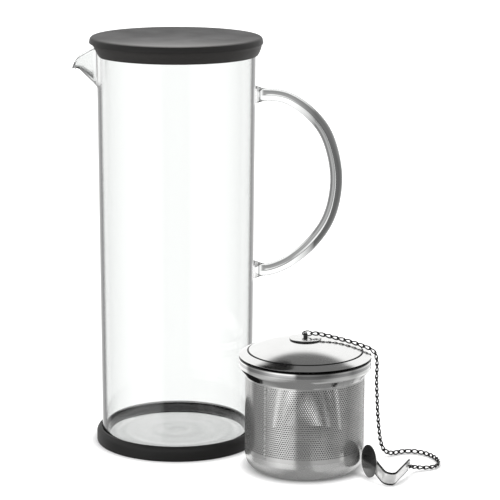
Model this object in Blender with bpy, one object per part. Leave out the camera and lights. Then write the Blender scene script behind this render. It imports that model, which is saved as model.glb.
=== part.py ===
"""Iced tea maker: a glass jug with a silicone lid, beside its steel infuser on a chain with a hook.

Metres, +Z up, the spout toward -X, the handle toward +X. The jug and the infuser stand on Z = 0.
The origin is the middle of the jug and the infuser together, on the table.
"""
import math

import bmesh
import bpy
import numpy as np
from mathutils import Matrix, Vector
from mathutils.geometry import tessellate_polygon

# Fits and facets
FIT_GAP = 0.0003
SHARP_ANGLE = math.radians(35)
JUG_SEGMENTS = 56
INFUSER_SEGMENTS = 48
ROD_SEGMENTS = 10
WIRE_SIDES = 5
CORNER_STEPS = 3
CURVE_STEPS = 24

# Jug glass
JUG_RADIUS = 0.0480
JUG_TAPER = 0.0015
JUG_HEIGHT = 0.2482
GLASS_WALL = 0.0020
GLASS_FLOOR = 0.0038
GLASS_CORNER = 0.0060
RIM_ROUND_SHARE = 0.35
DIRECTION_STEP_SHARE = 0.25

# Spout, drawn out of the jug's wall at the rim
SPOUT_REACH = 0.0147
SPOUT_DROP = 0.0159
SPOUT_RISE = 0.0271
SPOUT_HALF_ANGLE = math.radians(19)
SPOUT_AZIMUTH = math.radians(180)
SPOUT_HEIGHT_SHARES = (0.0, 0.25, 0.5, 0.75, 0.9, 1.0)
SPOUT_REACH_SHARES = (0.0, 0.245, 0.497, 0.722, 0.874, 1.0)
SPOUT_DROP_SHARES = (0.0, 0.189, 0.368, 0.579, 0.78, 1.0)
SPOUT_ANGLE_SHARES = (0.0, 0.13, 0.27, 0.4, 0.54, 0.68, 0.83, 1.0)

# Handle, a bent glass rod with flared ends, from its top end to its bottom end
HANDLE_REACH = 0.0497
HANDLE_TOP = 0.2164
HANDLE_BOTTOM = 0.1081
HANDLE_RADIUS = 0.00385
HANDLE_FLARE = 0.0021
HANDLE_FLARE_LENGTH = 0.0060
HANDLE_STEPS = 32
HANDLE_PATH_SHARES = (
    (0.0, 1.0),
    (0.17, 0.995),
    (0.41, 0.98),
    (0.67, 0.90),
    (0.875, 0.78),
    (1.0, 0.57),
    (0.98, 0.40),
    (0.885, 0.27),
    (0.685, 0.145),
    (0.45, 0.058),
    (0.21, 0.018),
    (0.0, 0.0),
)

# Silicone base ring under the jug
RING_WALL = 0.0032
RING_LIP_REACH = 0.0030
RING_HEIGHT = 0.00895
RING_LIP = 0.0012
RING_EDGE = 0.0018
RING_TOP_WALL = 0.0017
RING_SHOULDER_SHARE = 0.62

# Silicone jug lid
LID_OVERHANG = 0.0045
LID_DISC = 0.0030
LID_EDGE = 0.0026
SKIRT_DROP = 0.0109
SKIRT_WALL = 0.0010
SKIRT_HEIGHT_SHARES = (0.0, 0.3, 0.62, 1.0)
SKIRT_DRAW_SHARES = (0.0, 0.0, 0.3, 1.0)
SKIRT_ROW_SHARES = (0.33, 0.66, 1.0)
PLUG_CLEARANCE = 0.0004
PLUG_WALL = 0.0025
PLUG_DEPTH = 0.0065
PLUG_ROUND_SHARE = 0.25
CUT_CLEARANCE = math.radians(1.2)
CUT_CORNER_ANGLE = math.radians(10)
CUT_ANGLE_SHARES = (0.0, 0.06, 0.2, 0.4, 0.7, 1.0)
CUT_HEIGHT_SHARES = (0.0, 0.2, 0.55, 0.8, 0.95, 1.0)

# Infuser: floor cup, perforated wall and collar of sheet steel
INFUSER_AZIMUTH = math.radians(-34.9)
INFUSER_CLEARANCE = 0.0032
BASKET_RADIUS = 0.0357
BASKET_SHEET = 0.0008
BASKET_CORNER = 0.0085
CUP_HEIGHT = 0.0115
PERFORATED_HEIGHT = 0.0452
COLLAR_FLARE = 0.0037
COLLAR_HEIGHT = 0.0107
COLLAR_SLANT = 0.0047

# Infuser lid
DOME_RISE = 0.0098
DOME_SHEET = 0.0008
DOME_SPHERE_RADIUS = 0.0840
BEAD_MARGIN = 0.0053
BEAD_WIDTH = 0.0006
BEAD_DEPTH = 0.00035
RIM_THICKNESS = 0.0006
LID_PLUG_CLEARANCE = 0.0011
LID_PLUG_DEPTH = 0.0052
DOME_RADIUS_SHARES = (0.25, 0.5, 0.75, 0.95)

# Eye on the lid: a dished plate, a staple and an oval ring
PLATE_RADIUS = 0.0095
PLATE_THICKNESS = 0.0006
STAPLE_WIDTH = 0.0024
STAPLE_SHEET = 0.0007
STAPLE_SPAN = 0.0066
STAPLE_HEIGHT = 0.0022
STAPLE_CORNER = 0.0012
EYE_LENGTH = 0.0058
EYE_HEIGHT = 0.0030
EYE_WIRE = 0.0007
EYE_SHIFT_SHARE = 0.38

# Chain of twisted links
CHAIN_LINKS = 45
CHAIN_WIRE = 0.00062
LINK_HALF_WIDTH = 0.00140
LINK_PLAY = 0.00046
LINK_TWIST = math.radians(90)
LINK_POINTS = 10
ROUTE_STEPS = 40

# Chain route from the infuser's axis on the table, past the eye ring, to before the hook's ring
CHAIN_ROUTE = (
    (0.0080, 0.0009, 0.0814),
    (0.0125, 0.0014, 0.0801),
    (0.0165, 0.0018, 0.0790),
    (0.0204, 0.0022, 0.0779),
    (0.0243, 0.0026, 0.0768),
    (0.0289, 0.0031, 0.0753),
    (0.0325, 0.0035, 0.0740),
    (0.0362, 0.0039, 0.0725),
    (0.0394, 0.0042, 0.0712),
    (0.0421, 0.0046, 0.0686),
    (0.0430, 0.0050, 0.0636),
    (0.0430, 0.0060, 0.0515),
    (0.0436, 0.0076, 0.0400),
    (0.0443, 0.0094, 0.0290),
    (0.0455, 0.0116, 0.0175),
    (0.0470, 0.0136, 0.0088),
    (0.0495, 0.0154, 0.0038),
    (0.0532, 0.0178, 0.0019),
    (0.0576, 0.0208, 0.0018),
    (0.0623, 0.0228, 0.0018),
    (0.0668, 0.0228, 0.0018),
    (0.0710, 0.0212, 0.0018),
    (0.0749, 0.0183, 0.0018),
    (0.0779, 0.0140, 0.0018),
    (0.0801, 0.0086, 0.0018),
    (0.0811, 0.0026, 0.0018),
    (0.0804, -0.0034, 0.0018),
    (0.0776, -0.0074, 0.0018),
    (0.0737, -0.0094, 0.0019),
    (0.0696, -0.0103, 0.0021),
    (0.0661, -0.0117, 0.0028),
    (0.0637, -0.0141, 0.0039),
)

# Hook: a bent strip with a disc on one leg and a ring in the other leg's end
HOOK_STANDOFF = 0.0087
HOOK_AZIMUTH = math.radians(-29.26)
HOOK_TURN = math.radians(-67.54)
HOOK_PITCH = math.radians(14.22)
HOOK_ROLL = math.radians(-2.87)
HOOK_LIFT = 0.0002
DISC_RADIUS = 0.0097
DISC_THICKNESS = 0.0008
STRIP_WIDTH = 0.0083
STRIP_SHEET = 0.0008
STRIP_TAIL = 0.0042
LEG_ONE = 0.01665
LEG_TWO = 0.0205
BEND_RADIUS = 0.0043
BEND_OPENING = math.radians(48.74)
BEND_STEPS = 8
HOLE_RADIUS = 0.0012
HOLE_MARGIN = 0.0010
HOOK_RING_RADIUS = 0.0024
HOOK_RING_WIRE = 0.0007
HOOK_RING_TILT = math.radians(-36)

# Worked out from the sizes above
GLASS_BOTTOM = RING_LIP + FIT_GAP
JUG_BASE_RADIUS = JUG_RADIUS - JUG_TAPER
RING_RADIUS = JUG_BASE_RADIUS + FIT_GAP + RING_WALL
RING_BORE_RADIUS = JUG_BASE_RADIUS - RING_LIP_REACH
LID_RADIUS = JUG_RADIUS + LID_OVERHANG
LID_UNDERSIDE = JUG_HEIGHT + FIT_GAP
LID_TOP = LID_UNDERSIDE + LID_DISC
COLLAR_RADIUS = BASKET_RADIUS + COLLAR_FLARE
BEAD_RADIUS = COLLAR_RADIUS - BEAD_MARGIN
WALL_BOTTOM = CUP_HEIGHT + FIT_GAP
COLLAR_BOTTOM = WALL_BOTTOM + PERFORATED_HEIGHT + FIT_GAP
COLLAR_TOP = COLLAR_BOTTOM + COLLAR_HEIGHT
RIM_UNDERSIDE = COLLAR_TOP + FIT_GAP
DOME_TOP = RIM_UNDERSIDE + RIM_THICKNESS + DOME_RISE
DOME_CENTRE = DOME_TOP - DOME_SPHERE_RADIUS
INFUSER_DISTANCE = LID_RADIUS + INFUSER_CLEARANCE + COLLAR_RADIUS
INFUSER_OFFSET_X = INFUSER_DISTANCE * math.cos(INFUSER_AZIMUTH)
INFUSER_OFFSET_Y = INFUSER_DISTANCE * math.sin(INFUSER_AZIMUTH)
JUG_X = (JUG_RADIUS + SPOUT_REACH - INFUSER_OFFSET_X - COLLAR_RADIUS) / 2
JUG_Y = (COLLAR_RADIUS - INFUSER_OFFSET_Y - LID_RADIUS) / 2


def material(name, color, metallic, roughness, transmission=0.0):
    """Principled material with one colour."""
    made = bpy.data.materials.new(name)
    made.use_nodes = True
    made.diffuse_color = (*color, 1.0)
    surface = made.node_tree.nodes["Principled BSDF"]
    surface.inputs["Base Color"].default_value = (*color, 1.0)
    surface.inputs["Metallic"].default_value = metallic
    surface.inputs["Roughness"].default_value = roughness
    surface.inputs["Transmission Weight"].default_value = transmission
    return made


def empty(name, location):
    """Empty that carries the pieces on one axis."""
    made = bpy.data.objects.new(name, None)
    bpy.context.scene.collection.objects.link(made)
    made.location = location
    return made


def piece(name, mesh, surface, parent, matrix=None):
    """Object for one sub-part, on its parent's axis unless a matrix places it."""
    if not mesh.materials:
        mesh.materials.append(surface)
    made = bpy.data.objects.new(name, mesh)
    bpy.context.scene.collection.objects.link(made)
    made.parent = parent
    if matrix is not None:
        made.matrix_local = matrix


def finished(name, shape):
    """Mesh from an edited shape, faces outward and round stretches smooth."""
    bmesh.ops.recalc_face_normals(shape, faces=shape.faces)
    mesh = bpy.data.meshes.new(name)
    shape.to_mesh(mesh)
    shape.free()
    mesh.shade_smooth()
    mesh.set_sharp_from_angle(angle=SHARP_ANGLE)
    return mesh


def skin(name, rings, looped=False):
    """Closed mesh over rings of points; a ring of one point is a tip, other open ends get a flat cap."""
    shape = bmesh.new()
    rows = [[shape.verts.new(point) for point in ring] for ring in rings]
    pairs = list(zip(rows, rows[1:]))
    if looped:
        pairs.append((rows[-1], rows[0]))
    for first, second in pairs:
        count = max(len(first), len(second))
        for i in range(count):
            j = (i + 1) % count
            corners = [
                first[i % len(first)],
                first[j % len(first)],
                second[j % len(second)],
                second[i % len(second)],
            ]
            shape.faces.new(list(dict.fromkeys(corners)))
    if not looped:
        for row in (rows[0], rows[-1]):
            if len(row) > 1:
                shape.faces.new(row)
    return finished(name, shape)


def azimuths(count):
    """Angles evenly round a circle."""
    return [2 * math.pi * i / count for i in range(count)]


def polar(angle, radius, height):
    """Point round the Z axis."""
    return Vector((radius * math.cos(angle), radius * math.sin(angle), height))


def turned(name, outline, angles, looped=False):
    """Solid of revolution about Z from (radius, height) points; a radius of zero is a tip."""
    rings = []
    for radius, height in outline:
        if radius == 0:
            rings.append([Vector((0, 0, height))])
        else:
            rings.append([polar(angle, radius, height) for angle in angles])
    return skin(name, rings, looped)


def arc(centre, radius, start, end, steps=CORNER_STEPS):
    """Points of a round corner, from one angle to another, in degrees."""
    points = []
    for i in range(steps + 1):
        angle = math.radians(start + (end - start) * i / steps)
        points.append((centre[0] + radius * math.cos(angle), centre[1] + radius * math.sin(angle)))
    return points


def smooth_curve(points, steps):
    """Evenly spaced points on a smooth curve through the given points."""
    knots = np.array([tuple(point) for point in points])
    chords = np.linalg.norm(np.diff(knots, axis=0), axis=1)
    places = np.concatenate(([0.0], np.cumsum(np.sqrt(chords))))
    slopes = np.gradient(knots, places, axis=0)
    fine = []
    for i in range(len(knots) - 1):
        span = places[i + 1] - places[i]
        for t in np.linspace(0.0, 1.0, CURVE_STEPS, endpoint=False):
            fine.append(
                (2 * t**3 - 3 * t**2 + 1) * knots[i]
                + (t**3 - 2 * t**2 + t) * span * slopes[i]
                + (3 * t**2 - 2 * t**3) * knots[i + 1]
                + (t**3 - t**2) * span * slopes[i + 1]
            )
    fine.append(knots[-1])
    fine = np.array(fine)
    run = np.concatenate(([0.0], np.cumsum(np.linalg.norm(np.diff(fine, axis=0), axis=1))))
    even = np.linspace(0.0, run[-1], steps + 1)
    curve = [Vector([np.interp(place, run, fine[:, k]) for k in range(3)]) for place in even]
    return curve, float(run[-1])


def wire_loop(name, line, wire_radius, sides=WIRE_SIDES):
    """Closed wire along a closed line of points, with round section."""
    count = len(line)
    normal = None
    sections = []
    for i in range(count):
        tangent = (line[(i + 1) % count] - line[i - 1]).normalized()
        outward = line[i] - sum(line, Vector()) / count
        normal = (outward - outward.dot(tangent) * tangent).normalized()
        across = tangent.cross(normal)
        ring = []
        for angle in azimuths(sides):
            ring.append(line[i] + wire_radius * (math.cos(angle) * normal + math.sin(angle) * across))
        sections.append(ring)
    return skin(name, sections, looped=True)


def spout_columns():
    """Azimuths round the jug, closer together at the spout."""
    offsets = [share * SPOUT_HALF_ANGLE for share in SPOUT_ANGLE_SHARES]
    rest = round(JUG_SEGMENTS * (math.pi - SPOUT_HALF_ANGLE) / (2 * math.pi))
    for i in range(1, rest + 1):
        offsets.append(SPOUT_HALF_ANGLE + (math.pi - SPOUT_HALF_ANGLE) * i / rest)
    other_side = [-offset for offset in reversed(offsets[1:-1])]
    return [SPOUT_AZIMUTH + offset for offset in offsets + other_side]


def wall_radius(height):
    """Outer radius of the glass at a height, away from the spout."""
    share = (height - GLASS_BOTTOM) / (JUG_HEIGHT - GLASS_BOTTOM)
    return JUG_BASE_RADIUS + JUG_TAPER * share


def spout_weight(angle):
    """One in the middle of the spout, falling smoothly to zero at its sides."""
    offset = abs(math.remainder(angle - SPOUT_AZIMUTH, 2 * math.pi))
    return math.cos(math.pi / 2 * min(1.0, offset / SPOUT_HALF_ANGLE)) ** 2


def glass_outside(angle, height):
    """Point on the outside of the glass wall, with the spout drawn out."""
    share = max(0.0, (height - JUG_HEIGHT + SPOUT_RISE) / SPOUT_RISE)
    weight = spout_weight(angle)
    reach = SPOUT_REACH * weight * np.interp(share, SPOUT_HEIGHT_SHARES, SPOUT_REACH_SHARES)
    drop = SPOUT_DROP * weight * np.interp(share, SPOUT_HEIGHT_SHARES, SPOUT_DROP_SHARES)
    return polar(angle, wall_radius(height) + reach, height - drop)


def glass_directions(angle, height):
    """Outward and upward directions of the glass wall at a point."""
    step = DIRECTION_STEP_SHARE * GLASS_WALL
    turn = step / JUG_RADIUS
    upward = (glass_outside(angle, height) - glass_outside(angle, height - step)).normalized()
    around = glass_outside(angle + turn, height) - glass_outside(angle - turn, height)
    return around.cross(upward).normalized(), upward


def jug_mesh():
    """Thin glass cup with a drawn spout, a thicker floor and a rounded rim."""
    angles = spout_columns()
    rim = JUG_HEIGHT - RIM_ROUND_SHARE * GLASS_WALL
    rise_start = JUG_HEIGHT - SPOUT_RISE
    heights = [rise_start + share * (rim - rise_start) for share in SPOUT_HEIGHT_SHARES]
    outer_corner = (JUG_BASE_RADIUS - GLASS_CORNER, GLASS_BOTTOM + GLASS_CORNER)
    inner_round = GLASS_CORNER - GLASS_WALL
    floor_top = GLASS_BOTTOM + GLASS_FLOOR
    inner_corner = (JUG_BASE_RADIUS - GLASS_WALL - inner_round, floor_top + inner_round)
    rings = [[Vector((0, 0, GLASS_BOTTOM))]]
    for radius, height in arc(outer_corner, GLASS_CORNER, -90, 0):
        rings.append([polar(angle, radius, height) for angle in angles])
    for height in heights:
        rings.append([glass_outside(angle, height) for angle in angles])
    top = []
    for angle in angles:
        outward, upward = glass_directions(angle, rim)
        middle = glass_outside(angle, rim) - outward * GLASS_WALL / 2
        top.append(middle + upward * RIM_ROUND_SHARE * GLASS_WALL)
    rings.append(top)
    for height in reversed(heights):
        inner = []
        for angle in angles:
            outward = glass_directions(angle, height)[0]
            inner.append(glass_outside(angle, height) - outward * GLASS_WALL)
        rings.append(inner)
    for radius, height in reversed(arc(inner_corner, inner_round, -90, 0)):
        rings.append([polar(angle, radius, height) for angle in angles])
    rings.append([Vector((0, 0, floor_top))])
    return skin("jug_body", rings)


def handle_line():
    """Centre line of the handle in the plane through the jug's axis."""
    start = JUG_RADIUS - JUG_TAPER / 2
    rise = HANDLE_TOP - HANDLE_BOTTOM
    knots = []
    for reach_share, height_share in HANDLE_PATH_SHARES:
        knots.append((start + reach_share * HANDLE_REACH, 0.0, HANDLE_BOTTOM + height_share * rise))
    return smooth_curve(knots, HANDLE_STEPS)


def on_glass(point):
    """The point moved along X until it is one fit gap off the outside of the glass."""
    radius = wall_radius(point.z) + FIT_GAP
    return Vector((math.sqrt(radius**2 - point.y**2), point.y, point.z))


def handle_mesh():
    """Solid bent rod, flared where it meets the wall, with ends shaped to the glass."""
    line, length = handle_line()
    rings = []
    for i, middle in enumerate(line):
        place = length * i / HANDLE_STEPS
        tangent = (line[min(i + 1, HANDLE_STEPS)] - line[max(i - 1, 0)]).normalized()
        if i in (0, HANDLE_STEPS):
            tangent = Vector((math.copysign(1, tangent.x), 0, 0))
        side = Vector((0, 1, 0))
        across = tangent.cross(side)
        near = min(place, length - place)
        flare = HANDLE_FLARE * max(0.0, 1 - near / HANDLE_FLARE_LENGTH) ** 2
        ring = []
        for angle in azimuths(ROD_SEGMENTS):
            offset = math.cos(angle) * side + math.sin(angle) * across
            ring.append(middle + (HANDLE_RADIUS + flare) * offset)
        rings.append(ring)
    for end in (0, -1):
        rings[end] = [on_glass(point) for point in rings[end]]
    first_tip = on_glass(Vector((0, 0, HANDLE_TOP)))
    last_tip = on_glass(Vector((0, 0, HANDLE_BOTTOM)))
    return skin("jug_handle", [[first_tip], *rings, [last_tip]])


def base_ring_mesh():
    """Soft ring that the glass stands in, open in the middle, following the glass corner."""
    corner = (JUG_BASE_RADIUS - GLASS_CORNER, GLASS_BOTTOM + GLASS_CORNER)
    seat = GLASS_CORNER + FIT_GAP
    lip_angle = math.degrees(math.acos((RING_BORE_RADIUS - corner[0]) / seat))
    bore_top = wall_radius(RING_HEIGHT) + FIT_GAP
    bottom_edge = arc((RING_RADIUS - RING_EDGE, RING_EDGE), RING_EDGE, -90, 0)
    outline = [
        (RING_BORE_RADIUS, 0.0),
        *bottom_edge,
        (RING_RADIUS, RING_HEIGHT * RING_SHOULDER_SHARE),
        (bore_top + RING_TOP_WALL, RING_HEIGHT),
        (bore_top, RING_HEIGHT),
        *arc(corner, seat, 0, -lip_angle),
    ]
    return turned("base_ring", outline, azimuths(JUG_SEGMENTS), looped=True)


def skirt_radius(height):
    """Outer radius of the lid's skirt, drawn in toward the glass."""
    full_height = LID_TOP - SKIRT_DROP
    share = (LID_TOP - height) / (LID_TOP - full_height)
    draw = LID_RADIUS - JUG_RADIUS - FIT_GAP - SKIRT_WALL
    return LID_RADIUS - draw * np.interp(share, SKIRT_HEIGHT_SHARES, SKIRT_DRAW_SHARES)


def skirt_bottom(angle):
    """Height of the skirt's lower edge, raised to the disc over the spout."""
    offset = abs(math.remainder(angle - SPOUT_AZIMUTH, 2 * math.pi))
    share = (offset - SPOUT_HALF_ANGLE - CUT_CLEARANCE) / CUT_CORNER_ANGLE
    raised = LID_UNDERSIDE - FIT_GAP
    full = LID_TOP - SKIRT_DROP
    return raised + (full - raised) * np.interp(share, CUT_ANGLE_SHARES, CUT_HEIGHT_SHARES)


def lid_columns():
    """Azimuths round the jug lid, closer together where its skirt is cut away."""
    start = SPOUT_HALF_ANGLE + CUT_CLEARANCE
    offsets = [0.0, start / 3, start * 2 / 3]
    offsets += [start + share * CUT_CORNER_ANGLE for share in CUT_ANGLE_SHARES]
    last = offsets[-1]
    rest = round(JUG_SEGMENTS * (math.pi - last) / (2 * math.pi))
    offsets += [last + (math.pi - last) * i / rest for i in range(1, rest + 1)]
    other_side = [-offset for offset in reversed(offsets[1:-1])]
    return [SPOUT_AZIMUTH + offset for offset in offsets + other_side]


def jug_lid_mesh():
    """Soft cap: a disc, a drawn-in skirt cut away at the spout, and a plug ring inside the rim."""
    angles = lid_columns()
    side_top = LID_TOP - LID_EDGE
    bore = JUG_RADIUS + FIT_GAP
    plug_outside = JUG_RADIUS - GLASS_WALL - PLUG_CLEARANCE
    plug_inside = plug_outside - PLUG_WALL
    plug_bottom = LID_UNDERSIDE - PLUG_DEPTH
    plug_round = PLUG_ROUND_SHARE * PLUG_WALL
    rings = [[Vector((0, 0, LID_TOP))]]
    for radius, height in arc((LID_RADIUS - LID_EDGE, side_top), LID_EDGE, 90, 0):
        rings.append([polar(angle, radius, height) for angle in angles])
    for share in SKIRT_ROW_SHARES:
        ring = []
        for angle in angles:
            height = side_top + share * (skirt_bottom(angle) - side_top)
            ring.append(polar(angle, skirt_radius(height), height))
        rings.append(ring)
    rings.append([polar(angle, bore, skirt_bottom(angle)) for angle in angles])
    inside = (
        (bore, LID_UNDERSIDE),
        (plug_outside, LID_UNDERSIDE),
        (plug_outside, plug_bottom + plug_round),
        (plug_outside - plug_round, plug_bottom),
        (plug_inside, plug_bottom),
        (plug_inside, LID_UNDERSIDE),
    )
    for radius, height in inside:
        rings.append([polar(angle, radius, height) for angle in angles])
    rings.append([Vector((0, 0, LID_UNDERSIDE))])
    return skin("jug_lid", rings)


def basket_floor_mesh():
    """Pressed cup that closes the infuser's bottom."""
    inner_round = BASKET_CORNER - BASKET_SHEET
    centre = (BASKET_RADIUS - BASKET_CORNER, BASKET_CORNER)
    outline = [
        (0.0, 0.0),
        *arc(centre, BASKET_CORNER, -90, 0),
        (BASKET_RADIUS, CUP_HEIGHT),
        (BASKET_RADIUS - BASKET_SHEET, CUP_HEIGHT),
        *reversed(arc(centre, inner_round, -90, 0)),
        (0.0, BASKET_SHEET),
    ]
    return turned("basket_floor", outline, azimuths(INFUSER_SEGMENTS))


def basket_wall_mesh():
    """Straight wall of the infuser."""
    inside = BASKET_RADIUS - BASKET_SHEET
    top = WALL_BOTTOM + PERFORATED_HEIGHT
    outline = [(BASKET_RADIUS, WALL_BOTTOM), (BASKET_RADIUS, top), (inside, top), (inside, WALL_BOTTOM)]
    return turned("basket_wall", outline, azimuths(INFUSER_SEGMENTS), looped=True)


def basket_collar_mesh():
    """Wider collar that carries the infuser's lid."""
    slant_top = COLLAR_BOTTOM + COLLAR_SLANT
    outline = [
        (BASKET_RADIUS, COLLAR_BOTTOM),
        (COLLAR_RADIUS, slant_top),
        (COLLAR_RADIUS, COLLAR_TOP),
        (COLLAR_RADIUS - BASKET_SHEET, COLLAR_TOP),
        (COLLAR_RADIUS - BASKET_SHEET, slant_top),
        (BASKET_RADIUS - BASKET_SHEET, COLLAR_BOTTOM),
    ]
    return turned("basket_collar", outline, azimuths(INFUSER_SEGMENTS), looped=True)


def dome_height(radius, offset=0.0):
    """Height of the lid's dome at a radius, or of a surface at an offset above it."""
    return DOME_CENTRE + math.sqrt((DOME_SPHERE_RADIUS + offset) ** 2 - radius**2)


def infuser_lid_mesh():
    """Domed lid with a fine bead groove, a sloping rim and a plug skirt."""
    plug_outside = COLLAR_RADIUS - BASKET_SHEET - LID_PLUG_CLEARANCE
    plug_inside = plug_outside - DOME_SHEET
    plug_bottom = RIM_UNDERSIDE - LID_PLUG_DEPTH
    rim_top = RIM_UNDERSIDE + RIM_THICKNESS
    inner_bead = BEAD_RADIUS - BEAD_WIDTH / 2
    outer_bead = BEAD_RADIUS + BEAD_WIDTH / 2
    slope = (dome_height(outer_bead) - rim_top) / (COLLAR_RADIUS - outer_bead)
    under_rim = rim_top + slope * (COLLAR_RADIUS - plug_inside) - DOME_SHEET
    bead_floor = dome_height(BEAD_RADIUS) - BEAD_DEPTH
    inner_shares = tuple(reversed(DOME_RADIUS_SHARES))
    outline = [
        (0.0, DOME_TOP),
        *[(share * BEAD_RADIUS, dome_height(share * BEAD_RADIUS)) for share in DOME_RADIUS_SHARES],
        (inner_bead, dome_height(inner_bead)),
        (BEAD_RADIUS, bead_floor),
        (outer_bead, dome_height(outer_bead)),
        (COLLAR_RADIUS, rim_top),
        (COLLAR_RADIUS, RIM_UNDERSIDE),
        (plug_outside, RIM_UNDERSIDE),
        (plug_outside, plug_bottom),
        (plug_inside, plug_bottom),
        (plug_inside, under_rim),
        *[
            (share * BEAD_RADIUS, dome_height(share * BEAD_RADIUS, -DOME_SHEET))
            for share in inner_shares
        ],
        (0.0, DOME_TOP - DOME_SHEET),
    ]
    return turned("infuser_lid", outline, azimuths(INFUSER_SEGMENTS))


def eye_plate_mesh():
    """Small round plate dished to lie on the dome."""
    bottom = FIT_GAP
    top = FIT_GAP + PLATE_THICKNESS
    half = PLATE_RADIUS / 2
    outline = [
        (0.0, dome_height(0.0, top)),
        (half, dome_height(half, top)),
        (PLATE_RADIUS, dome_height(PLATE_RADIUS, top)),
        (PLATE_RADIUS, dome_height(PLATE_RADIUS, bottom)),
        (half, dome_height(half, bottom)),
        (0.0, dome_height(0.0, bottom)),
    ]
    return turned("eye_plate", outline, azimuths(INFUSER_SEGMENTS // 2))


def staple_feet():
    """Height of the staple's feet, just above the plate."""
    return dome_height(0.0, 2 * FIT_GAP + PLATE_THICKNESS)


def eye_staple_mesh():
    """Bent strap over the middle of the plate, open along X."""
    feet = staple_feet()
    half = STAPLE_SPAN / 2
    inner_round = STAPLE_CORNER - STAPLE_SHEET
    centre_height = feet + STAPLE_HEIGHT - STAPLE_CORNER
    outside = [(half, feet), *arc((half - STAPLE_CORNER, centre_height), STAPLE_CORNER, 0, 90)]
    inside = [
        (half - STAPLE_SHEET, feet),
        *arc((half - STAPLE_CORNER, centre_height), inner_round, 0, 90),
    ]
    outside += [(-y, z) for y, z in reversed(outside)]
    inside += [(-y, z) for y, z in reversed(inside)]
    rings = []
    for (outer_y, outer_z), (inner_y, inner_z) in zip(outside, inside):
        rings.append(
            [
                Vector((-STAPLE_WIDTH / 2, outer_y, outer_z)),
                Vector((STAPLE_WIDTH / 2, outer_y, outer_z)),
                Vector((STAPLE_WIDTH / 2, inner_y, inner_z)),
                Vector((-STAPLE_WIDTH / 2, inner_y, inner_z)),
            ]
        )
    return skin("eye_staple", rings)


def eye_centre():
    """Middle of the oval ring that hangs on the staple's bar."""
    bar = staple_feet() + STAPLE_HEIGHT - STAPLE_SHEET / 2
    return Vector((EYE_SHIFT_SHARE * EYE_LENGTH / 2, 0, bar))


def eye_ring_mesh():
    """Oval ring round the staple's bar, in the X and Z plane."""
    line = []
    for angle in azimuths(2 * LINK_POINTS):
        offset = Vector((EYE_LENGTH / 2 * math.cos(angle), 0, EYE_HEIGHT / 2 * math.sin(angle)))
        line.append(eye_centre() + offset)
    return wire_loop("eye_ring", line, EYE_WIRE / 2)


def hook_frame():
    """Placement of the hook's own axes: X along the first leg, Y toward the bend, Z across the strip."""
    turn = Matrix.Rotation(HOOK_TURN, 4, "Z")
    turn = turn @ Matrix.Rotation(HOOK_PITCH, 4, "Y") @ Matrix.Rotation(HOOK_ROLL, 4, "X")
    lows = []
    for place in disc_faces():
        for point in disc_circle(place):
            lows.append((turn @ point).z)
    for middle, side in strip_stations():
        for corner in strip_corners(middle, side):
            lows.append((turn @ corner).z)
    height = HOOK_LIFT - min(lows)
    return Matrix.Translation(polar(HOOK_AZIMUTH, BASKET_RADIUS + HOOK_STANDOFF, height)) @ turn


def disc_faces():
    """Places of the disc's two faces across the strip."""
    near = -STRIP_SHEET / 2 - FIT_GAP
    return near - DISC_THICKNESS, near


def disc_circle(place):
    """Points round one face of the disc."""
    points = []
    for angle in azimuths(INFUSER_SEGMENTS // 2):
        points.append(Vector((DISC_RADIUS * math.cos(angle), place, DISC_RADIUS * math.sin(angle))))
    return points


def strip_stations():
    """Centre line of the strip with its sideways directions, from the tail behind the disc to its end."""
    turn = math.pi - BEND_OPENING
    stations = [(Vector((-STRIP_TAIL, 0, 0)), Vector((0, 1, 0)))]
    for i in range(BEND_STEPS + 1):
        angle = turn * i / BEND_STEPS
        side = Vector((-math.sin(angle), math.cos(angle), 0))
        middle = Vector((LEG_ONE, BEND_RADIUS, 0)) - BEND_RADIUS * side
        stations.append((middle, side))
    middle, side = stations[-1]
    stations.append((middle + LEG_TWO * strip_direction(side), side))
    return stations


def strip_direction(side):
    """Direction along the strip where its sideways direction is known."""
    return Vector((side.y, -side.x, 0))


def strip_corners(middle, side):
    """Corners of the strip's section at one place on its centre line."""
    half = STRIP_SHEET / 2
    upward = Vector((0, 0, STRIP_WIDTH / 2))
    return (
        middle - half * side - upward,
        middle + half * side - upward,
        middle + half * side + upward,
        middle - half * side + upward,
    )


def strip_hole():
    """Middle of the hole near the strip's end, with the directions toward that end and sideways."""
    end, side = strip_stations()[-1]
    along = strip_direction(side)
    return end - (HOLE_MARGIN + HOLE_RADIUS) * along, along, side


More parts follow.
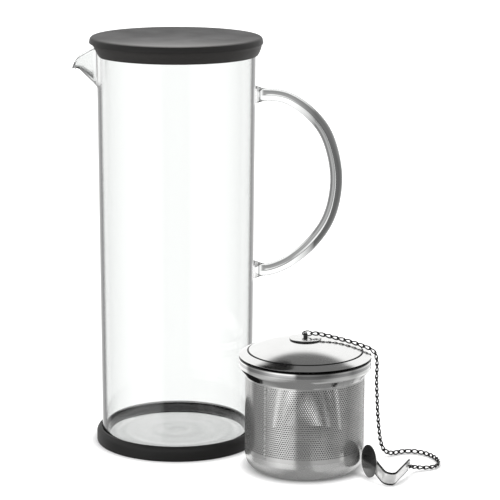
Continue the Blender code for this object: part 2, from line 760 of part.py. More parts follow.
def hook_strip_mesh():
    """Strip bent to a narrow V, with a hole through the end of its second leg."""
    shape = bmesh.new()
    half = STRIP_SHEET / 2
    rows = []
    for middle, side in strip_stations():
        rows.append([shape.verts.new(corner) for corner in strip_corners(middle, side)])
    shape.faces.new(rows[0])
    shape.faces.new(rows[-1])
    for first, second in zip(rows[:-2], rows[1:-1]):
        for i in range(4):
            j = (i + 1) % 4
            shape.faces.new((first[i], first[j], second[j], second[i]))
    first, second = rows[-2:]
    for i in (0, 2):
        j = (i + 1) % 4
        shape.faces.new((first[i], first[j], second[j], second[i]))
    centre, along, side = strip_hole()
    circles = []
    for place, low, high in ((half, 1, 2), (-half, 0, 3)):
        circle = []
        for angle in azimuths(ROD_SEGMENTS):
            offset = math.cos(angle) * along + math.sin(angle) * Vector((0, 0, 1))
            circle.append(shape.verts.new(centre + place * side + HOLE_RADIUS * offset))
        border = [first[low], second[low], second[high], first[high]]
        outline = [vertex.co.copy() for vertex in border]
        bore = [vertex.co.copy() for vertex in circle]
        corners = border + circle
        for triangle in tessellate_polygon([outline, bore]):
            shape.faces.new([corners[index] for index in triangle])
        circles.append(circle)
    for i in range(ROD_SEGMENTS):
        j = (i + 1) % ROD_SEGMENTS
        shape.faces.new((circles[0][i], circles[0][j], circles[1][j], circles[1][i]))
    return finished("hook_strip", shape)


def hook_disc_mesh():
    """Plain round disc on the outer side of the first leg."""
    return skin("hook_disc", [disc_circle(place) for place in disc_faces()])


def hook_ring_direction():
    """Direction from the strip's hole to the ring's middle, in the hook's axes."""
    along = strip_hole()[1]
    return math.cos(HOOK_RING_TILT) * along + math.sin(HOOK_RING_TILT) * Vector((0, 0, 1))


def hook_ring_mesh():
    """Round ring through the strip's hole, in the hook's axes."""
    hole, _, side = strip_hole()
    outward = hook_ring_direction()
    middle = hole + HOOK_RING_RADIUS * outward
    line = []
    for angle in azimuths(2 * LINK_POINTS):
        line.append(middle + HOOK_RING_RADIUS * (math.cos(angle) * outward + math.sin(angle) * side))
    return wire_loop("hook_ring", line, HOOK_RING_WIRE / 2)


def chain_ends():
    """Where the first link lies in the eye ring and the last link in the hook's ring."""
    first = eye_centre()
    first.x += EYE_LENGTH / 2 - EYE_WIRE / 2 - FIT_GAP - CHAIN_WIRE / 2
    hole = strip_hole()[0]
    reach = 2 * HOOK_RING_RADIUS - HOOK_RING_WIRE / 2 - FIT_GAP - CHAIN_WIRE / 2
    last = hook_frame() @ (hole + reach * hook_ring_direction())
    return first, last


def link_line(half_length):
    """Centre line of one link, an oval twisted along its length."""
    line = []
    for angle in azimuths(LINK_POINTS):
        along = math.cos(angle)
        twist = LINK_TWIST / 2 * along
        across = LINK_HALF_WIDTH * math.sin(angle)
        line.append(Vector((half_length * along, across * math.cos(twist), across * math.sin(twist))))
    return line


def link_placements():
    """Placement of each link along the route, and the links' half length."""
    first, last = chain_ends()
    steps = ROUTE_STEPS * CHAIN_LINKS
    curve, length = smooth_curve([first, *CHAIN_ROUTE, last], steps)
    overlap = CHAIN_WIRE + LINK_PLAY
    pitch = (length - overlap) / CHAIN_LINKS
    link_length = pitch + overlap
    placements = []
    normal = Vector((0, 0, 1))
    for i in range(CHAIN_LINKS):
        start = curve[round(i * pitch / length * steps)]
        end = curve[round((i * pitch + link_length) / length * steps)]
        along = (end - start).normalized()
        normal = (normal - normal.dot(along) * along).normalized()
        side = normal.cross(along)
        axes = Matrix((along, side, normal)).transposed().to_4x4()
        turn = Matrix.Rotation(LINK_TWIST / 2, 4, "X")
        placements.append(Matrix.Translation((start + end) / 2) @ axes @ turn)
    return placements, link_length / 2


def build():
    """Clear the scene, then make every sub-part."""
    for old in list(bpy.data.objects):
        bpy.data.objects.remove(old)
    glass = material("clear_glass", (0.86, 0.88, 0.87), 0.0, 0.02, 1.0)
    rod_glass = material("handle_glass", (0.86, 0.88, 0.87), 0.0, 0.02, 1.0)
    silicone = material("base_silicone", (0.03, 0.028, 0.026), 0.0, 0.6)
    lid_silicone = material("lid_silicone", (0.05, 0.048, 0.044), 0.0, 0.55)
    cup_steel = material("cup_steel", (0.62, 0.62, 0.61), 1.0, 0.22)
    mesh_steel = material("perforated_steel", (0.58, 0.58, 0.57), 1.0, 0.3)
    collar_steel = material("collar_steel", (0.62, 0.62, 0.61), 1.0, 0.2)
    lid_steel = material("lid_steel", (0.66, 0.66, 0.65), 1.0, 0.15)
    plate_steel = material("plate_steel", (0.66, 0.66, 0.65), 1.0, 0.15)
    staple_steel = material("staple_steel", (0.66, 0.66, 0.65), 1.0, 0.2)
    wire_steel = material("wire_steel", (0.6, 0.6, 0.59), 1.0, 0.2)
    hook_steel = material("hook_steel", (0.62, 0.62, 0.61), 1.0, 0.25)
    disc_steel = material("disc_steel", (0.62, 0.62, 0.61), 1.0, 0.3)

    jug_axis = Matrix.Translation((JUG_X, JUG_Y, 0))
    piece("base_ring", base_ring_mesh(), silicone, None, jug_axis)
    piece("jug_body", jug_mesh(), glass, None, jug_axis)
    piece("jug_handle", handle_mesh(), rod_glass, None, jug_axis)
    piece("jug_lid", jug_lid_mesh(), lid_silicone, None, jug_axis)

    infuser_axis = empty("infuser_axis", (JUG_X + INFUSER_OFFSET_X, JUG_Y + INFUSER_OFFSET_Y, 0))
    piece("basket_floor", basket_floor_mesh(), cup_steel, infuser_axis)
    piece("basket_wall", basket_wall_mesh(), mesh_steel, infuser_axis)
    piece("basket_collar", basket_collar_mesh(), collar_steel, infuser_axis)
    piece("infuser_lid", infuser_lid_mesh(), lid_steel, infuser_axis)
    piece("eye_plate", eye_plate_mesh(), plate_steel, infuser_axis)
    piece("eye_staple", eye_staple_mesh(), staple_steel, infuser_axis)
    piece("eye_ring", eye_ring_mesh(), wire_steel, infuser_axis)

    placements, half_length = link_placements()
    link = wire_loop("chain_link", link_line(half_length), CHAIN_WIRE / 2)
    for number, placement in enumerate(placements, 1):
        piece(f"chain_link_{number:02d}", link, wire_steel, infuser_axis, placement)

    hinge = chain_ends()[1]
    swing = Matrix.Translation(hinge)
    hook_meshes = (
        ("hook_ring", hook_ring_mesh(), wire_steel),
        ("hook_strip", hook_strip_mesh(), hook_steel),
        ("hook_disc", hook_disc_mesh(), disc_steel),
    )
    for name, mesh, surface in hook_meshes:
        mesh.transform(swing.inverted() @ hook_frame())
        piece(name, mesh, surface, infuser_axis, swing)


build()
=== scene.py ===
# %% [markdown]
# An iced tea maker: a tall glass jug with a drawn spout and a glass rod handle, capped and footed in
# dark silicone, and beside it its steel infuser with a domed lid, a twisted-link chain and a small
# strip hook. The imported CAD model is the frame. Each piece here is made finer around its CAD node and
# moves with its body.

# %% Load the frame
import math

import bmesh
import bpy
import numpy as np
from mathutils import Matrix, Vector


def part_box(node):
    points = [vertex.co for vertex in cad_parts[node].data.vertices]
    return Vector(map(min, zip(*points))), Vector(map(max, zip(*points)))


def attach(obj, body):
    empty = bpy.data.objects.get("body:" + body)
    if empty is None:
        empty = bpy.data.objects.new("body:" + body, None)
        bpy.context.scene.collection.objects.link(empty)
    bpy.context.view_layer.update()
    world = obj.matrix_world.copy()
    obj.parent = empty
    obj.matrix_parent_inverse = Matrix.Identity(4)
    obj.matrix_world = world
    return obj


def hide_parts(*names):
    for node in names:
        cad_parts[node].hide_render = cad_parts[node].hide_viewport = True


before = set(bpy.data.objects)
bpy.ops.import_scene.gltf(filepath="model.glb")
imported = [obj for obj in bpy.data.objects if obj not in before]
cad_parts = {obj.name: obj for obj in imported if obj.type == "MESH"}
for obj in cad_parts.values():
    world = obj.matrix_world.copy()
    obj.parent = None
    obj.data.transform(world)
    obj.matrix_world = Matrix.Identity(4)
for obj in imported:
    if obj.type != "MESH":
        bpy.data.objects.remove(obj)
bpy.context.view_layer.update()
MM = 0.001


def middle_of(node):
    """Upright axis of a round node, as a point on the table."""
    low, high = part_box(node)
    return Vector(((low.x + high.x) / 2, (low.y + high.y) / 2, 0.0))


JUG = middle_of("base_ring")
INFUSER = middle_of("basket_floor")
print("jug axis", JUG, "infuser axis", INFUSER)

# %% [markdown]
# The camera comes first, because everything is judged through it. It was fitted to the ellipses of the
# jug and the infuser: a long lens, far away, a little above the jug's rim and looking down by about
# twelve degrees.

# %% Camera
CAMERA_FROM_JUG = Vector((0.044885, -1.2861, 0.40358))
CAMERA_LENS = 154.5
CAMERA_SENSOR = 36
CAMERA_TILT = math.radians(77.574)
CAMERA_ROLL = math.radians(0.263)


def add_object(name, data):
    """Put data into the scene as a new object."""
    made = bpy.data.objects.new(name, data)
    bpy.context.scene.collection.objects.link(made)
    return made


camera_data = bpy.data.cameras.new("studio_camera")
camera_data.lens = CAMERA_LENS
camera_data.sensor_width = CAMERA_SENSOR
camera = add_object("studio_camera", camera_data)
camera_turn = Matrix.Rotation(CAMERA_TILT, 4, "X") @ Matrix.Rotation(CAMERA_ROLL, 4, "Z")
camera.matrix_world = Matrix.Translation(JUG + CAMERA_FROM_JUG) @ camera_turn
bpy.context.scene.camera = camera
print("camera at", camera.matrix_world.translation)

# %% [markdown]
# A few small helpers keep the modelling cells short. Operators act on whatever is selected, so each piece
# starts with nothing selected. A settled piece has its place applied into its mesh, as the CAD nodes have,
# gets smooth shading across its shallow angles, hangs on the empty of the body it rides on, and hides the
# nodes it stands for.


# %% Helpers for modelling
def start_clean():
    """Leave edit mode and select nothing."""
    if bpy.context.mode != "OBJECT":
        bpy.ops.object.mode_set(mode="OBJECT")
    bpy.ops.object.select_all(action="DESELECT")


def active():
    """The object that operators work on."""
    return bpy.context.view_layer.objects.active


def activate(made):
    """Select one object alone, for the operators that follow."""
    start_clean()
    made.select_set(True)
    bpy.context.view_layer.objects.active = made


def apply_place():
    """Apply the active object's place, turn and size into its mesh."""
    activate(active())
    bpy.ops.object.transform_apply(location=True, rotation=True, scale=True)
    return active()


def extrude(step):
    """In edit mode, extrude what is selected by a step in metres."""
    bpy.ops.mesh.extrude_region_move(TRANSFORM_OT_translate={"value": step})


def close_up(merge=1e-6):
    """In edit mode, merge doubled points and turn all normals outwards."""
    bpy.ops.mesh.select_all(action="SELECT")
    bpy.ops.mesh.remove_doubles(threshold=merge)
    bpy.ops.mesh.normals_make_consistent(inside=False)


def modify(made, kind, **settings):
    """Give an object a modifier, set it and apply it."""
    activate(made)
    modifier = made.modifiers.new("finish", kind)
    for name, value in settings.items():
        setattr(modifier, name, value)
    bpy.ops.object.modifier_apply(modifier=modifier.name)


def settle(name, paint, body, nodes=(), angle=35):
    """Finish the active object as one piece of the model."""
    made = apply_place()
    bpy.ops.object.shade_smooth_by_angle(angle=math.radians(angle))
    made.name = name
    made.data.name = name
    made.data.materials.clear()
    made.data.materials.append(paint.holder)
    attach(made, body)
    if nodes:
        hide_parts(*nodes)
    print(name, len(made.data.polygons), "faces")
    return made


# %% [markdown]
# Most of this object is round. A lathe would turn it, and Blender's spin operator does the same: one
# vertex is extruded from point to point along half of the cross-section, and that line is spun about
# the upright axis. Merging the doubles closes the seam and the poles, and only then are the normals
# made to point outwards.


# %% Spinning a profile
def arc(centre, radius, start, end, steps=6):
    """Points of a round corner in a profile, from one angle to another, in degrees."""
    points = []
    for i in range(steps + 1):
        angle = math.radians(start + (end - start) * i / steps)
        points.append((centre[0] + radius * math.cos(angle), centre[1] + radius * math.sin(angle)))
    return points


def spin_profile(axis, profile, steps, closed=False):
    """Spin (radius, height) points in millimetres about an upright axis and stay in edit mode."""
    points = list(profile)
    if closed:
        points.append(points[0])
    start_clean()
    start = Vector((axis.x + points[0][0] * MM, axis.y, points[0][1] * MM))
    bpy.ops.mesh.primitive_plane_add(size=MM, location=start)
    bpy.ops.object.mode_set(mode="EDIT")
    bpy.ops.mesh.merge(type="CENTER")
    for (radius, height), (next_radius, next_height) in zip(points, points[1:]):
        step = ((next_radius - radius) * MM, 0, (next_height - height) * MM)
        bpy.ops.mesh.extrude_vertices_move(TRANSFORM_OT_translate={"value": step})
    bpy.ops.mesh.select_all(action="SELECT")
    bpy.ops.mesh.spin(steps=steps, angle=2 * math.pi, center=(axis.x, axis.y, 0), axis=(0, 0, 1))
    close_up()


# %% [markdown]
# A material is a small tree of nodes round one shader, and the floor and the world are such trees too,
# so one class adds and links the nodes of all of them. Object coordinates are in metres and in the same
# frame as the model, so a noise of scale 1000 has grains of about a millimetre.


# %% Helpers for materials
class Paint:
    """Shader nodes of one material, or of the world."""

    def __init__(self, holder):
        holder.use_nodes = True
        self.holder = holder
        self.nodes = holder.node_tree.nodes
        self.surface = self.nodes.get("Principled BSDF")

    def node(self, kind, **values):
        """Add a node and set its sockets by name."""
        made = self.nodes.new(kind)
        for name, value in values.items():
            made.inputs[name.replace("_", " ")].default_value = value
        return made

    def feed(self, value, target):
        """Link a socket to an input, or set the input to a number, a vector or a colour."""
        if isinstance(value, bpy.types.NodeSocket):
            self.holder.node_tree.links.new(value, target)
        elif isinstance(value, tuple):
            target.default_value = (*value, 1)
        else:
            target.default_value = value

    def coordinates(self, kind="Object"):
        """Texture coordinates of one kind."""
        return self.node("ShaderNodeTexCoord").outputs[kind]

    def centred(self, axis, scale=(1, 1, 1)):
        """Object coordinates measured from an upright axis."""
        moved = self.node("ShaderNodeMapping", Location=(-axis.x, -axis.y, 0))
        stretched = self.node("ShaderNodeMapping", Scale=scale)
        self.feed(self.coordinates(), moved.inputs["Vector"])
        self.feed(moved.outputs["Vector"], stretched.inputs["Vector"])
        return stretched.outputs["Vector"]

    def parts(self, vector):
        """X, Y and Z of a vector."""
        made = self.node("ShaderNodeSeparateXYZ")
        self.feed(vector, made.inputs["Vector"])
        return made.outputs

    def calc(self, operation, first, second=0.0):
        """Output of a Math node on one or two values."""
        made = self.node("ShaderNodeMath")
        made.operation = operation
        self.feed(first, made.inputs[0])
        self.feed(second, made.inputs[1])
        return made.outputs["Value"]

    def vector(self, operation, first, second=None):
        """Output of a Vector Math node on one or two vectors."""
        made = self.node("ShaderNodeVectorMath")
        made.operation = operation
        self.feed(first, made.inputs[0])
        if second is not None:
            self.feed(second, made.inputs[1])
        return made.outputs["Value" if operation in ("LENGTH", "DOT_PRODUCT") else "Vector"]

    def from_axis(self, place):
        """Distance of a centred place from its axis."""
        return self.vector("LENGTH", self.vector("MULTIPLY", place, Vector((1, 1, 0))))

    def noise(self, vector, scale, detail):
        """Noise texture read at a vector."""
        made = self.node("ShaderNodeTexNoise", Scale=scale, Detail=detail)
        self.feed(vector, made.inputs["Vector"])
        return made.outputs["Fac"]

    def spread(self, value, low, high, bottom=0.3, top=0.7):
        """A value stretched from a part of its range onto low to high."""
        made = self.node("ShaderNodeMapRange", From_Min=bottom, From_Max=top, To_Min=low, To_Max=high)
        self.feed(value, made.inputs["Value"])
        return made.outputs["Result"]

    def rise(self, value, start, end):
        """Nought at one level and one at another, both in millimetres."""
        return self.spread(value, 0.0, 1.0, start * MM, end * MM)

    def between(self, value, low, high, soft):
        """One between two levels in millimetres and nought outside them, with soft ends."""
        below = self.rise(value, low - soft, low + soft)
        return self.calc("MULTIPLY", below, self.rise(value, high + soft, high - soft))

    def ramp(self, value, stops):
        """Colour by a value, from stops of a place and a colour."""
        made = self.node("ShaderNodeValToRGB")
        elements = made.color_ramp.elements
        while len(elements) < len(stops):
            elements.new(0.5)
        for element, (place, color) in zip(elements, stops):
            element.position = place
            element.color = (*color, 1)
        self.feed(value, made.inputs["Fac"])
        return made.outputs["Color"]

    def blend(self, share, first, second):
        """Mix of two colours by a share."""
        made = self.node("ShaderNodeMix")
        made.data_type = "RGBA"
        for name, value in (("Factor", share), ("A", first), ("B", second)):
            self.feed(value, made.inputs[name])
        return made.outputs["Result"]

    def color(self, value):
        """Give the surface its colour."""
        self.feed(value, self.surface.inputs["Base Color"])

    def recolor(self, share, color):
        """Blend the surface's colour toward another by a share."""
        before = self.surface.inputs["Base Color"].links[0].from_socket
        self.color(self.blend(share, before, color))

    def bump(self, height, distance, strength):
        """Bump of a height in metres on the surface."""
        made = self.node("ShaderNodeBump", Strength=strength, Distance=distance)
        self.feed(height, made.inputs["Height"])
        self.feed(made.outputs["Normal"], self.surface.inputs["Normal"])


def new_paint(name, color, roughness, metallic=0.0):
    """Principled material, ready for more nodes."""
    made = Paint(bpy.data.materials.new(name))
    made.color(color)
    made.surface.inputs["Roughness"].default_value = roughness
    made.surface.inputs["Metallic"].default_value = metallic
    return made


# %% [markdown]
# Clear glass is nearly invisible on white: what shows is its edge, where one looks along the wall instead of
# through it. The shader is clear transmission glass. Its colour carries painted shade, which deepens on the
# outer skin where the surface turns away. It stands for the dark edges that refraction shows, with a little
# of the grey of many millimetres of glass in a row. The spout and the flares turn in other ways, so they
# have stops of their own, and soft levels across the jug say which place is which.

# %% Clear glass
GLASS_BOTTOM = 1.5
GLASS_HEIGHT = 248.2
BASE_RADIUS = 46.5
TOP_RADIUS = 48.0
GLASS_COLOR = (0.97, 0.98, 0.975)
GLASS_IOR = 1.47
OUTER_SKIN = (-1.3, -0.7)
SPOUT_ROOT = (-48.5, -50.0)
HANDLE_ROOT = (48.2, 48.6)
FLARE_END = (50.6, 52.6)
LEG_END = (70.0, 84.0)
# Painted shade: share of light that one surface lets through, by how far it turns away
WALL_SHADE_TINTS = (
    (0.0, 0.985), (0.58, 0.98), (0.625, 0.93), (0.66, 0.6),
    (0.7, 0.2), (0.84, 0.16), (0.93, 0.5), (1.0, 0.8),
)
SPOUT_SHADE_TINTS = (
    (0.0, 0.97), (0.34, 0.95), (0.4, 0.42), (0.54, 0.38), (0.6, 0.94), (0.9, 0.95), (0.95, 0.7), (1.0, 0.75),
)
FLARE_SHADE_TINTS = ((0.0, 0.98), (0.45, 0.95), (0.7, 0.75), (0.85, 0.6), (1.0, 0.9))


def shade_ramp(value, stops):
    """Painted glass shade by a value, with the least touch of green."""
    colors = []
    for place, share in stops:
        colors.append((place, (share**2 * 0.99, share**2, share**2 * 0.992)))
    return glass.ramp(value, colors)


glass = new_paint("clear_glass", GLASS_COLOR, 0.0)
glass.surface.inputs["Transmission Weight"].default_value = 1.0
glass.surface.inputs["IOR"].default_value = GLASS_IOR
glass_place = glass.centred(JUG)
glass_x, glass_y, glass_up = glass.parts(glass_place)
glass_radius = glass.from_axis(glass_place)
heights = (GLASS_BOTTOM * MM, GLASS_HEIGHT * MM)
outer_radius = glass.spread(glass_up, BASE_RADIUS * MM, TOP_RADIUS * MM, *heights)
on_outside = glass.rise(glass.calc("SUBTRACT", glass_radius, outer_radius), *OUTER_SKIN)
on_spout = glass.rise(glass_x, *SPOUT_ROOT)
on_handle = glass.rise(glass_x, *HANDLE_ROOT)
leaving = glass.node("ShaderNodeNewGeometry").outputs["Backfacing"]
entering = glass.calc("SUBTRACT", 1.0, leaving)
facing = glass.node("ShaderNodeLayerWeight", Blend=0.5).outputs["Facing"]
entering_turn = glass.calc("MULTIPLY", facing, entering)
wall_turn = glass.calc("MULTIPLY", entering_turn, on_outside)
# Painted shade of the wall, the spout and the flares, by how far the surface turns away
glass_shade = glass.blend(on_spout, shade_ramp(wall_turn, WALL_SHADE_TINTS), shade_ramp(entering_turn, SPOUT_SHADE_TINTS))
glass_shade = glass.blend(on_handle, glass_shade, shade_ramp(entering_turn, FLARE_SHADE_TINTS))
print("glass has", len(glass.nodes), "nodes")

# %% [markdown]
# A solid rod bends light far more than a wall does, so the painted shade of the handle turns grey much
# nearer its middle, and a little more on the outside of its bend, with a narrow painted highlight along the
# rod. How far a point lies across the rod follows from how far it turns away, and the side follows from its
# normal: up or down on the two legs, inward or outward round the bend. Seen end on, the rod is clear again.

# %% Painted shade of the handle's glass
LOOP_CENTRE = Vector((0.060, 0.0, 0.165))
END_ON = (0.28, 0.6)
END_ON_COLOR = (0.86, 0.865, 0.86)
# Painted shade across a leg from its underside to its top
LEG_SHADE_TINTS = (
    (0.0, 0.7), (0.05, 0.9), (0.1, 0.97), (0.5, 0.97), (0.56, 0.3), (0.82, 0.25), (0.88, 0.9), (1.0, 0.8),
)
# Painted shade and a painted highlight across the rod from the inside of its bend to the outside
ROD_SHADE_TINTS = (
    (0.0, 0.6), (0.06, 0.25), (0.15, 0.12), (0.22, 0.35), (0.32, 0.35), (0.37, 0.12),
    (0.41, 0.85), (0.46, 0.85), (0.5, 0.13), (0.75, 0.1), (0.92, 0.16), (1.0, 0.5),
)
bend_out = glass.vector("NORMALIZE", glass.vector("SUBTRACT", glass_place, LOOP_CENTRE))
rod_normal = glass.coordinates("Normal")
rod_side = glass.vector("DOT_PRODUCT", rod_normal, bend_out)
rod_up = glass.vector("DOT_PRODUCT", rod_normal, Vector((0, 0, 1)))
straight = glass.calc("SUBTRACT", 1.0, facing)
rod_across = glass.calc("SQRT", glass.calc("SUBTRACT", 1.0, glass.calc("POWER", straight, 2.0)))


def across(side):
    """Place across the rod, from 0 to 1, with the side that the normal leans to."""
    way = glass.calc("SIGN", side)
    half = glass.calc("MULTIPLY", glass.calc("MULTIPLY", rod_across, way), 0.5)
    return glass.calc("ADD", half, 0.5)


on_leg = glass.rise(glass_x, *FLARE_END)
on_rod = glass.rise(glass_x, *LEG_END)
end_on = glass.calc("SUBTRACT", glass.calc("ABSOLUTE", rod_side), rod_across)
end_on = glass.spread(end_on, 0.0, 1.0, *END_ON)
rod_shade = glass.blend(end_on, shade_ramp(across(rod_side), ROD_SHADE_TINTS), END_ON_COLOR)
glass_shade = glass.blend(on_leg, glass_shade, shade_ramp(across(rod_up), LEG_SHADE_TINTS))
glass_shade = glass.blend(on_rod, glass_shade, rod_shade)
print("with the handle", len(glass.nodes), "nodes")

# %% [markdown]
# In some places the glass's painted shade is set to one plain share, whichever way they face. It is nearly
# cleared on the wall beside the spout and at the two joints of the handle. It is a painted grey at the tip
# of the spout and in the narrow band where the handle's flares begin. It is a painted reflection in the low
# band in which the foot shows a second time. Each is a zone between soft levels that blends the shade toward
# one plain share. The floor gets weak rings of its own over a painted shade, which stands for the shadow on
# the table under the jug.

# %% Plain places of the glass's painted shade
BESIDE_SPOUT = ((224.5, 260.0, 1.5), (-47.9, -43.0, 0.3), 0.95)
HANDLE_TOP = 216.4
HANDLE_BOTTOM = 108.1
JOINT_HALF = 5.2
JOINT_SOFT = 0.9
JOINT_ACROSS = (-9.0, 9.0, 2.0)
JOINT_OUT = (44.5, 49.8, 0.3)
JOINT_SHARE = 0.93
SHADE_BANDS = ((-64.0, -60.4, 0.3), (50.0, 50.8, 0.2))
SHADE_BAND_SHARE = 0.4
FOOT_REFLECTION = (8.8, 11.0, 0.25)
FOOT_REFLECTION_SHARE = 0.25
FLOOR_LEVEL = (8.8, 8.2)
FLOOR_EDGE = 44.0
WAVE_SCALE = 38.0
WAVE_STRETCH = (1, 1, 0.35)
WAVE_DEPTH = 0.0006
WAVE_STRENGTH = 0.08
FLOOR_SHADE_TINTS = (
    (0.0, 0.66), (0.1, 0.6), (0.2, 0.68), (0.33, 0.62), (0.45, 0.67), (0.6, 0.64),
    (0.7, 0.69), (0.76, 0.62), (0.84, 0.72), (0.9, 0.62), (0.95, 0.7), (1.0, 0.6),
)


def both(first, second):
    """Where two zones lie over each other."""
    return glass.calc("MULTIPLY", first, second)


def plain_shade_zone(zone, share):
    """Blend the glass's painted shade toward one plain share in a zone."""
    return glass.blend(zone, glass_shade, (share**2, share**2, share**2))


spout_heights, spout_across, spout_share = BESIDE_SPOUT
beside_spout = both(glass.between(glass_up, *spout_heights), glass.between(glass_x, *spout_across))
glass_shade = plain_shade_zone(beside_spout, spout_share)
joint_side = both(glass.between(glass_y, *JOINT_ACROSS), glass.between(glass_x, *JOINT_OUT))
for leg_height in (HANDLE_TOP, HANDLE_BOTTOM):
    joint_level = glass.between(glass_up, leg_height - JOINT_HALF, leg_height + JOINT_HALF, JOINT_SOFT)
    glass_shade = plain_shade_zone(both(joint_level, joint_side), JOINT_SHARE)
# Painted grey bands at the spout's tip and where the handle's flares begin
for shade_band in SHADE_BANDS:
    glass_shade = plain_shade_zone(glass.between(glass_x, *shade_band), SHADE_BAND_SHARE)
inside = glass.calc("SUBTRACT", 1.0, on_outside)
# Painted reflection of the foot in the low band of the inner wall
glass_shade = plain_shade_zone(both(glass.between(glass_up, *FOOT_REFLECTION), inside), FOOT_REFLECTION_SHARE)
# Painted shade of the table under the jug, seen through the floor, with weak rings
floor_shade_rings = shade_ramp(glass.rise(glass_radius, 0.0, FLOOR_EDGE), FLOOR_SHADE_TINTS)
glass_shade = glass.blend(glass.rise(glass_up, *FLOOR_LEVEL), glass_shade, floor_shade_rings)
glass.color(glass.blend(entering, GLASS_COLOR, glass_shade))
glass_wave = glass.noise(glass.centred(JUG, WAVE_STRETCH), WAVE_SCALE, 1.0)
glass.bump(glass_wave, WAVE_DEPTH, WAVE_STRENGTH)
print("glass has", len(glass.nodes), "nodes")

# %% [markdown]
# Silicone is dark, soft and a little dusty. A fine grain breaks its shine, and slow cloudy patches keep
# the wide surfaces from being one flat colour. The foot is nearly black and dull, and the cap is a
# little smoother.

# %% Silicone
DUST_SCALE = 45.0
GRAIN_SCALE = 2600.0
GRAIN_DEPTH = 0.00004
GRAIN_STRENGTH = 0.35
SOFT_SHINE = 0.3


def silicone(name, dark, light, rough):
    """Matte silicone of the jug, with grain and slight dust."""
    made = new_paint(name, light, rough)
    made.surface.inputs["Specular IOR Level"].default_value = SOFT_SHINE
    place = made.centred(JUG)
    cloud = made.noise(place, DUST_SCALE, 3.0)
    grain = made.noise(place, GRAIN_SCALE, 1.0)
    made.color(made.ramp(cloud, ((0.0, dark), (1.0, light))))
    made.feed(made.spread(cloud, rough - 0.05, rough + 0.06), made.surface.inputs["Roughness"])
    made.bump(grain, GRAIN_DEPTH, GRAIN_STRENGTH)
    return made


foot_silicone = silicone("foot_silicone", (0.01, 0.01, 0.01), (0.022, 0.0215, 0.021), 0.5)
cap_silicone = silicone("cap_silicone", (0.008, 0.0077, 0.0075), (0.014, 0.0135, 0.013), 0.48)
print(foot_silicone.holder.name, cap_silicone.holder.name)

# %% [markdown]
# The cap's flat top carries a painted sheen: it is painted grey toward its front and at the top of its front
# edge, and stays dark toward its back. The height of the normal finds the top, and the place from front to
# back gives the grey, which fades along a steep curve. The skirt is painted a shade paler than the edge
# above it, as painted light.

# %% Painted sheen on the top of the cap
CAP_FAR = (0.014, 0.0135, 0.013)
CAP_NEAR = (0.26, 0.255, 0.25)
CAP_SKIRT_LIGHT = (0.04, 0.038, 0.0365)
CAP_HALF = 52.0
CAP_CURVE = 5.0
CAP_FLAT = (0.6, 0.92)
SKIRT_LEVEL = (249.0, 246.6)
cap_parts = cap_silicone.parts(cap_silicone.centred(JUG))
cap_lies = cap_silicone.parts(cap_silicone.coordinates("Normal"))["Z"]
cap_depth = cap_silicone.rise(cap_parts["Y"], CAP_HALF, -CAP_HALF)
cap_depth = cap_silicone.calc("POWER", cap_depth, CAP_CURVE)
# Painted sheen: grey at the front of the top, dark at its back
cap_top_sheen = cap_silicone.ramp(cap_depth, ((0.0, CAP_FAR), (1.0, CAP_NEAR)))
# Painted light: the lower skirt is paler than the edge above it
cap_silicone.recolor(cap_silicone.rise(cap_parts["Z"], *SKIRT_LEVEL), CAP_SKIRT_LIGHT)
cap_silicone.recolor(cap_silicone.spread(cap_lies, 0.0, 1.0, *CAP_FLAT), cap_top_sheen)
print("cap has", len(cap_silicone.nodes), "nodes")

# %% [markdown]
# The steel parts differ in how they were finished, and some carry painted reflection. Spun and pressed sheet
# keeps fine lines that run round the axis, so its noise is read by radius and height alone. The wire of the
# chain and of its rings, and the eye's strap, are painted nearly black and shiny with small pale patches.
# This is a painted reflection of a dark room with a few bright things in it. The hook is painted nearly
# white and half matt, a painted reflection of the white sweep round it.

# %% Steel
LINE_SCALE = 3200.0
LINE_DEPTH = 0.00001


def steel(name, dark, light, rough, lines=0.2, metallic=1.0, cells=70.0):
    """Stainless steel with fine lines that run round the infuser's axis."""
    made = new_paint(name, light, rough, metallic)
    place = made.centred(INFUSER)
    around = made.node("ShaderNodeCombineXYZ")
    made.feed(made.from_axis(place), around.inputs["X"])
    made.feed(made.parts(place)["Z"], around.inputs["Z"])
    fine = made.noise(around.outputs["Vector"], LINE_SCALE, 3.0)
    cloud = made.spread(made.noise(place, cells, 3.0), 0.0, 1.0)
    made.color(made.ramp(cloud, ((0.0, dark), (1.0, light))))
    made.feed(made.spread(fine, rough - 0.04, rough + 0.05), made.surface.inputs["Roughness"])
    made.bump(fine, LINE_DEPTH, lines)
    return made


POLISHED = ((0.84, 0.84, 0.83), (0.9, 0.9, 0.89))
cup_steel = steel("cup_steel", (0.74, 0.74, 0.73), (0.84, 0.84, 0.83), 0.2, metallic=0.75)
seam_steel = steel("seam_steel", (0.55, 0.55, 0.54), (0.63, 0.63, 0.62), 0.25, metallic=0.7)
mesh_steel = steel("mesh_steel", (0.62, 0.62, 0.61), (0.72, 0.72, 0.71), 0.16, metallic=0.7)
collar_steel = steel("collar_steel", *POLISHED, 0.12)
dome_steel = steel("dome_steel", *POLISHED, 0.14, 0.1)
plate_steel = steel("plate_steel", *POLISHED, 0.22)
# Painted reflection: the eye's strap and the chain's wire are painted nearly black with pale patches
eye_steel = steel("eye_steel", (0.02, 0.02, 0.02), (0.07, 0.07, 0.069), 0.2)
chain_steel = steel("chain_steel", (0.008, 0.008, 0.008), (0.085, 0.085, 0.084), 0.12, cells=420.0)
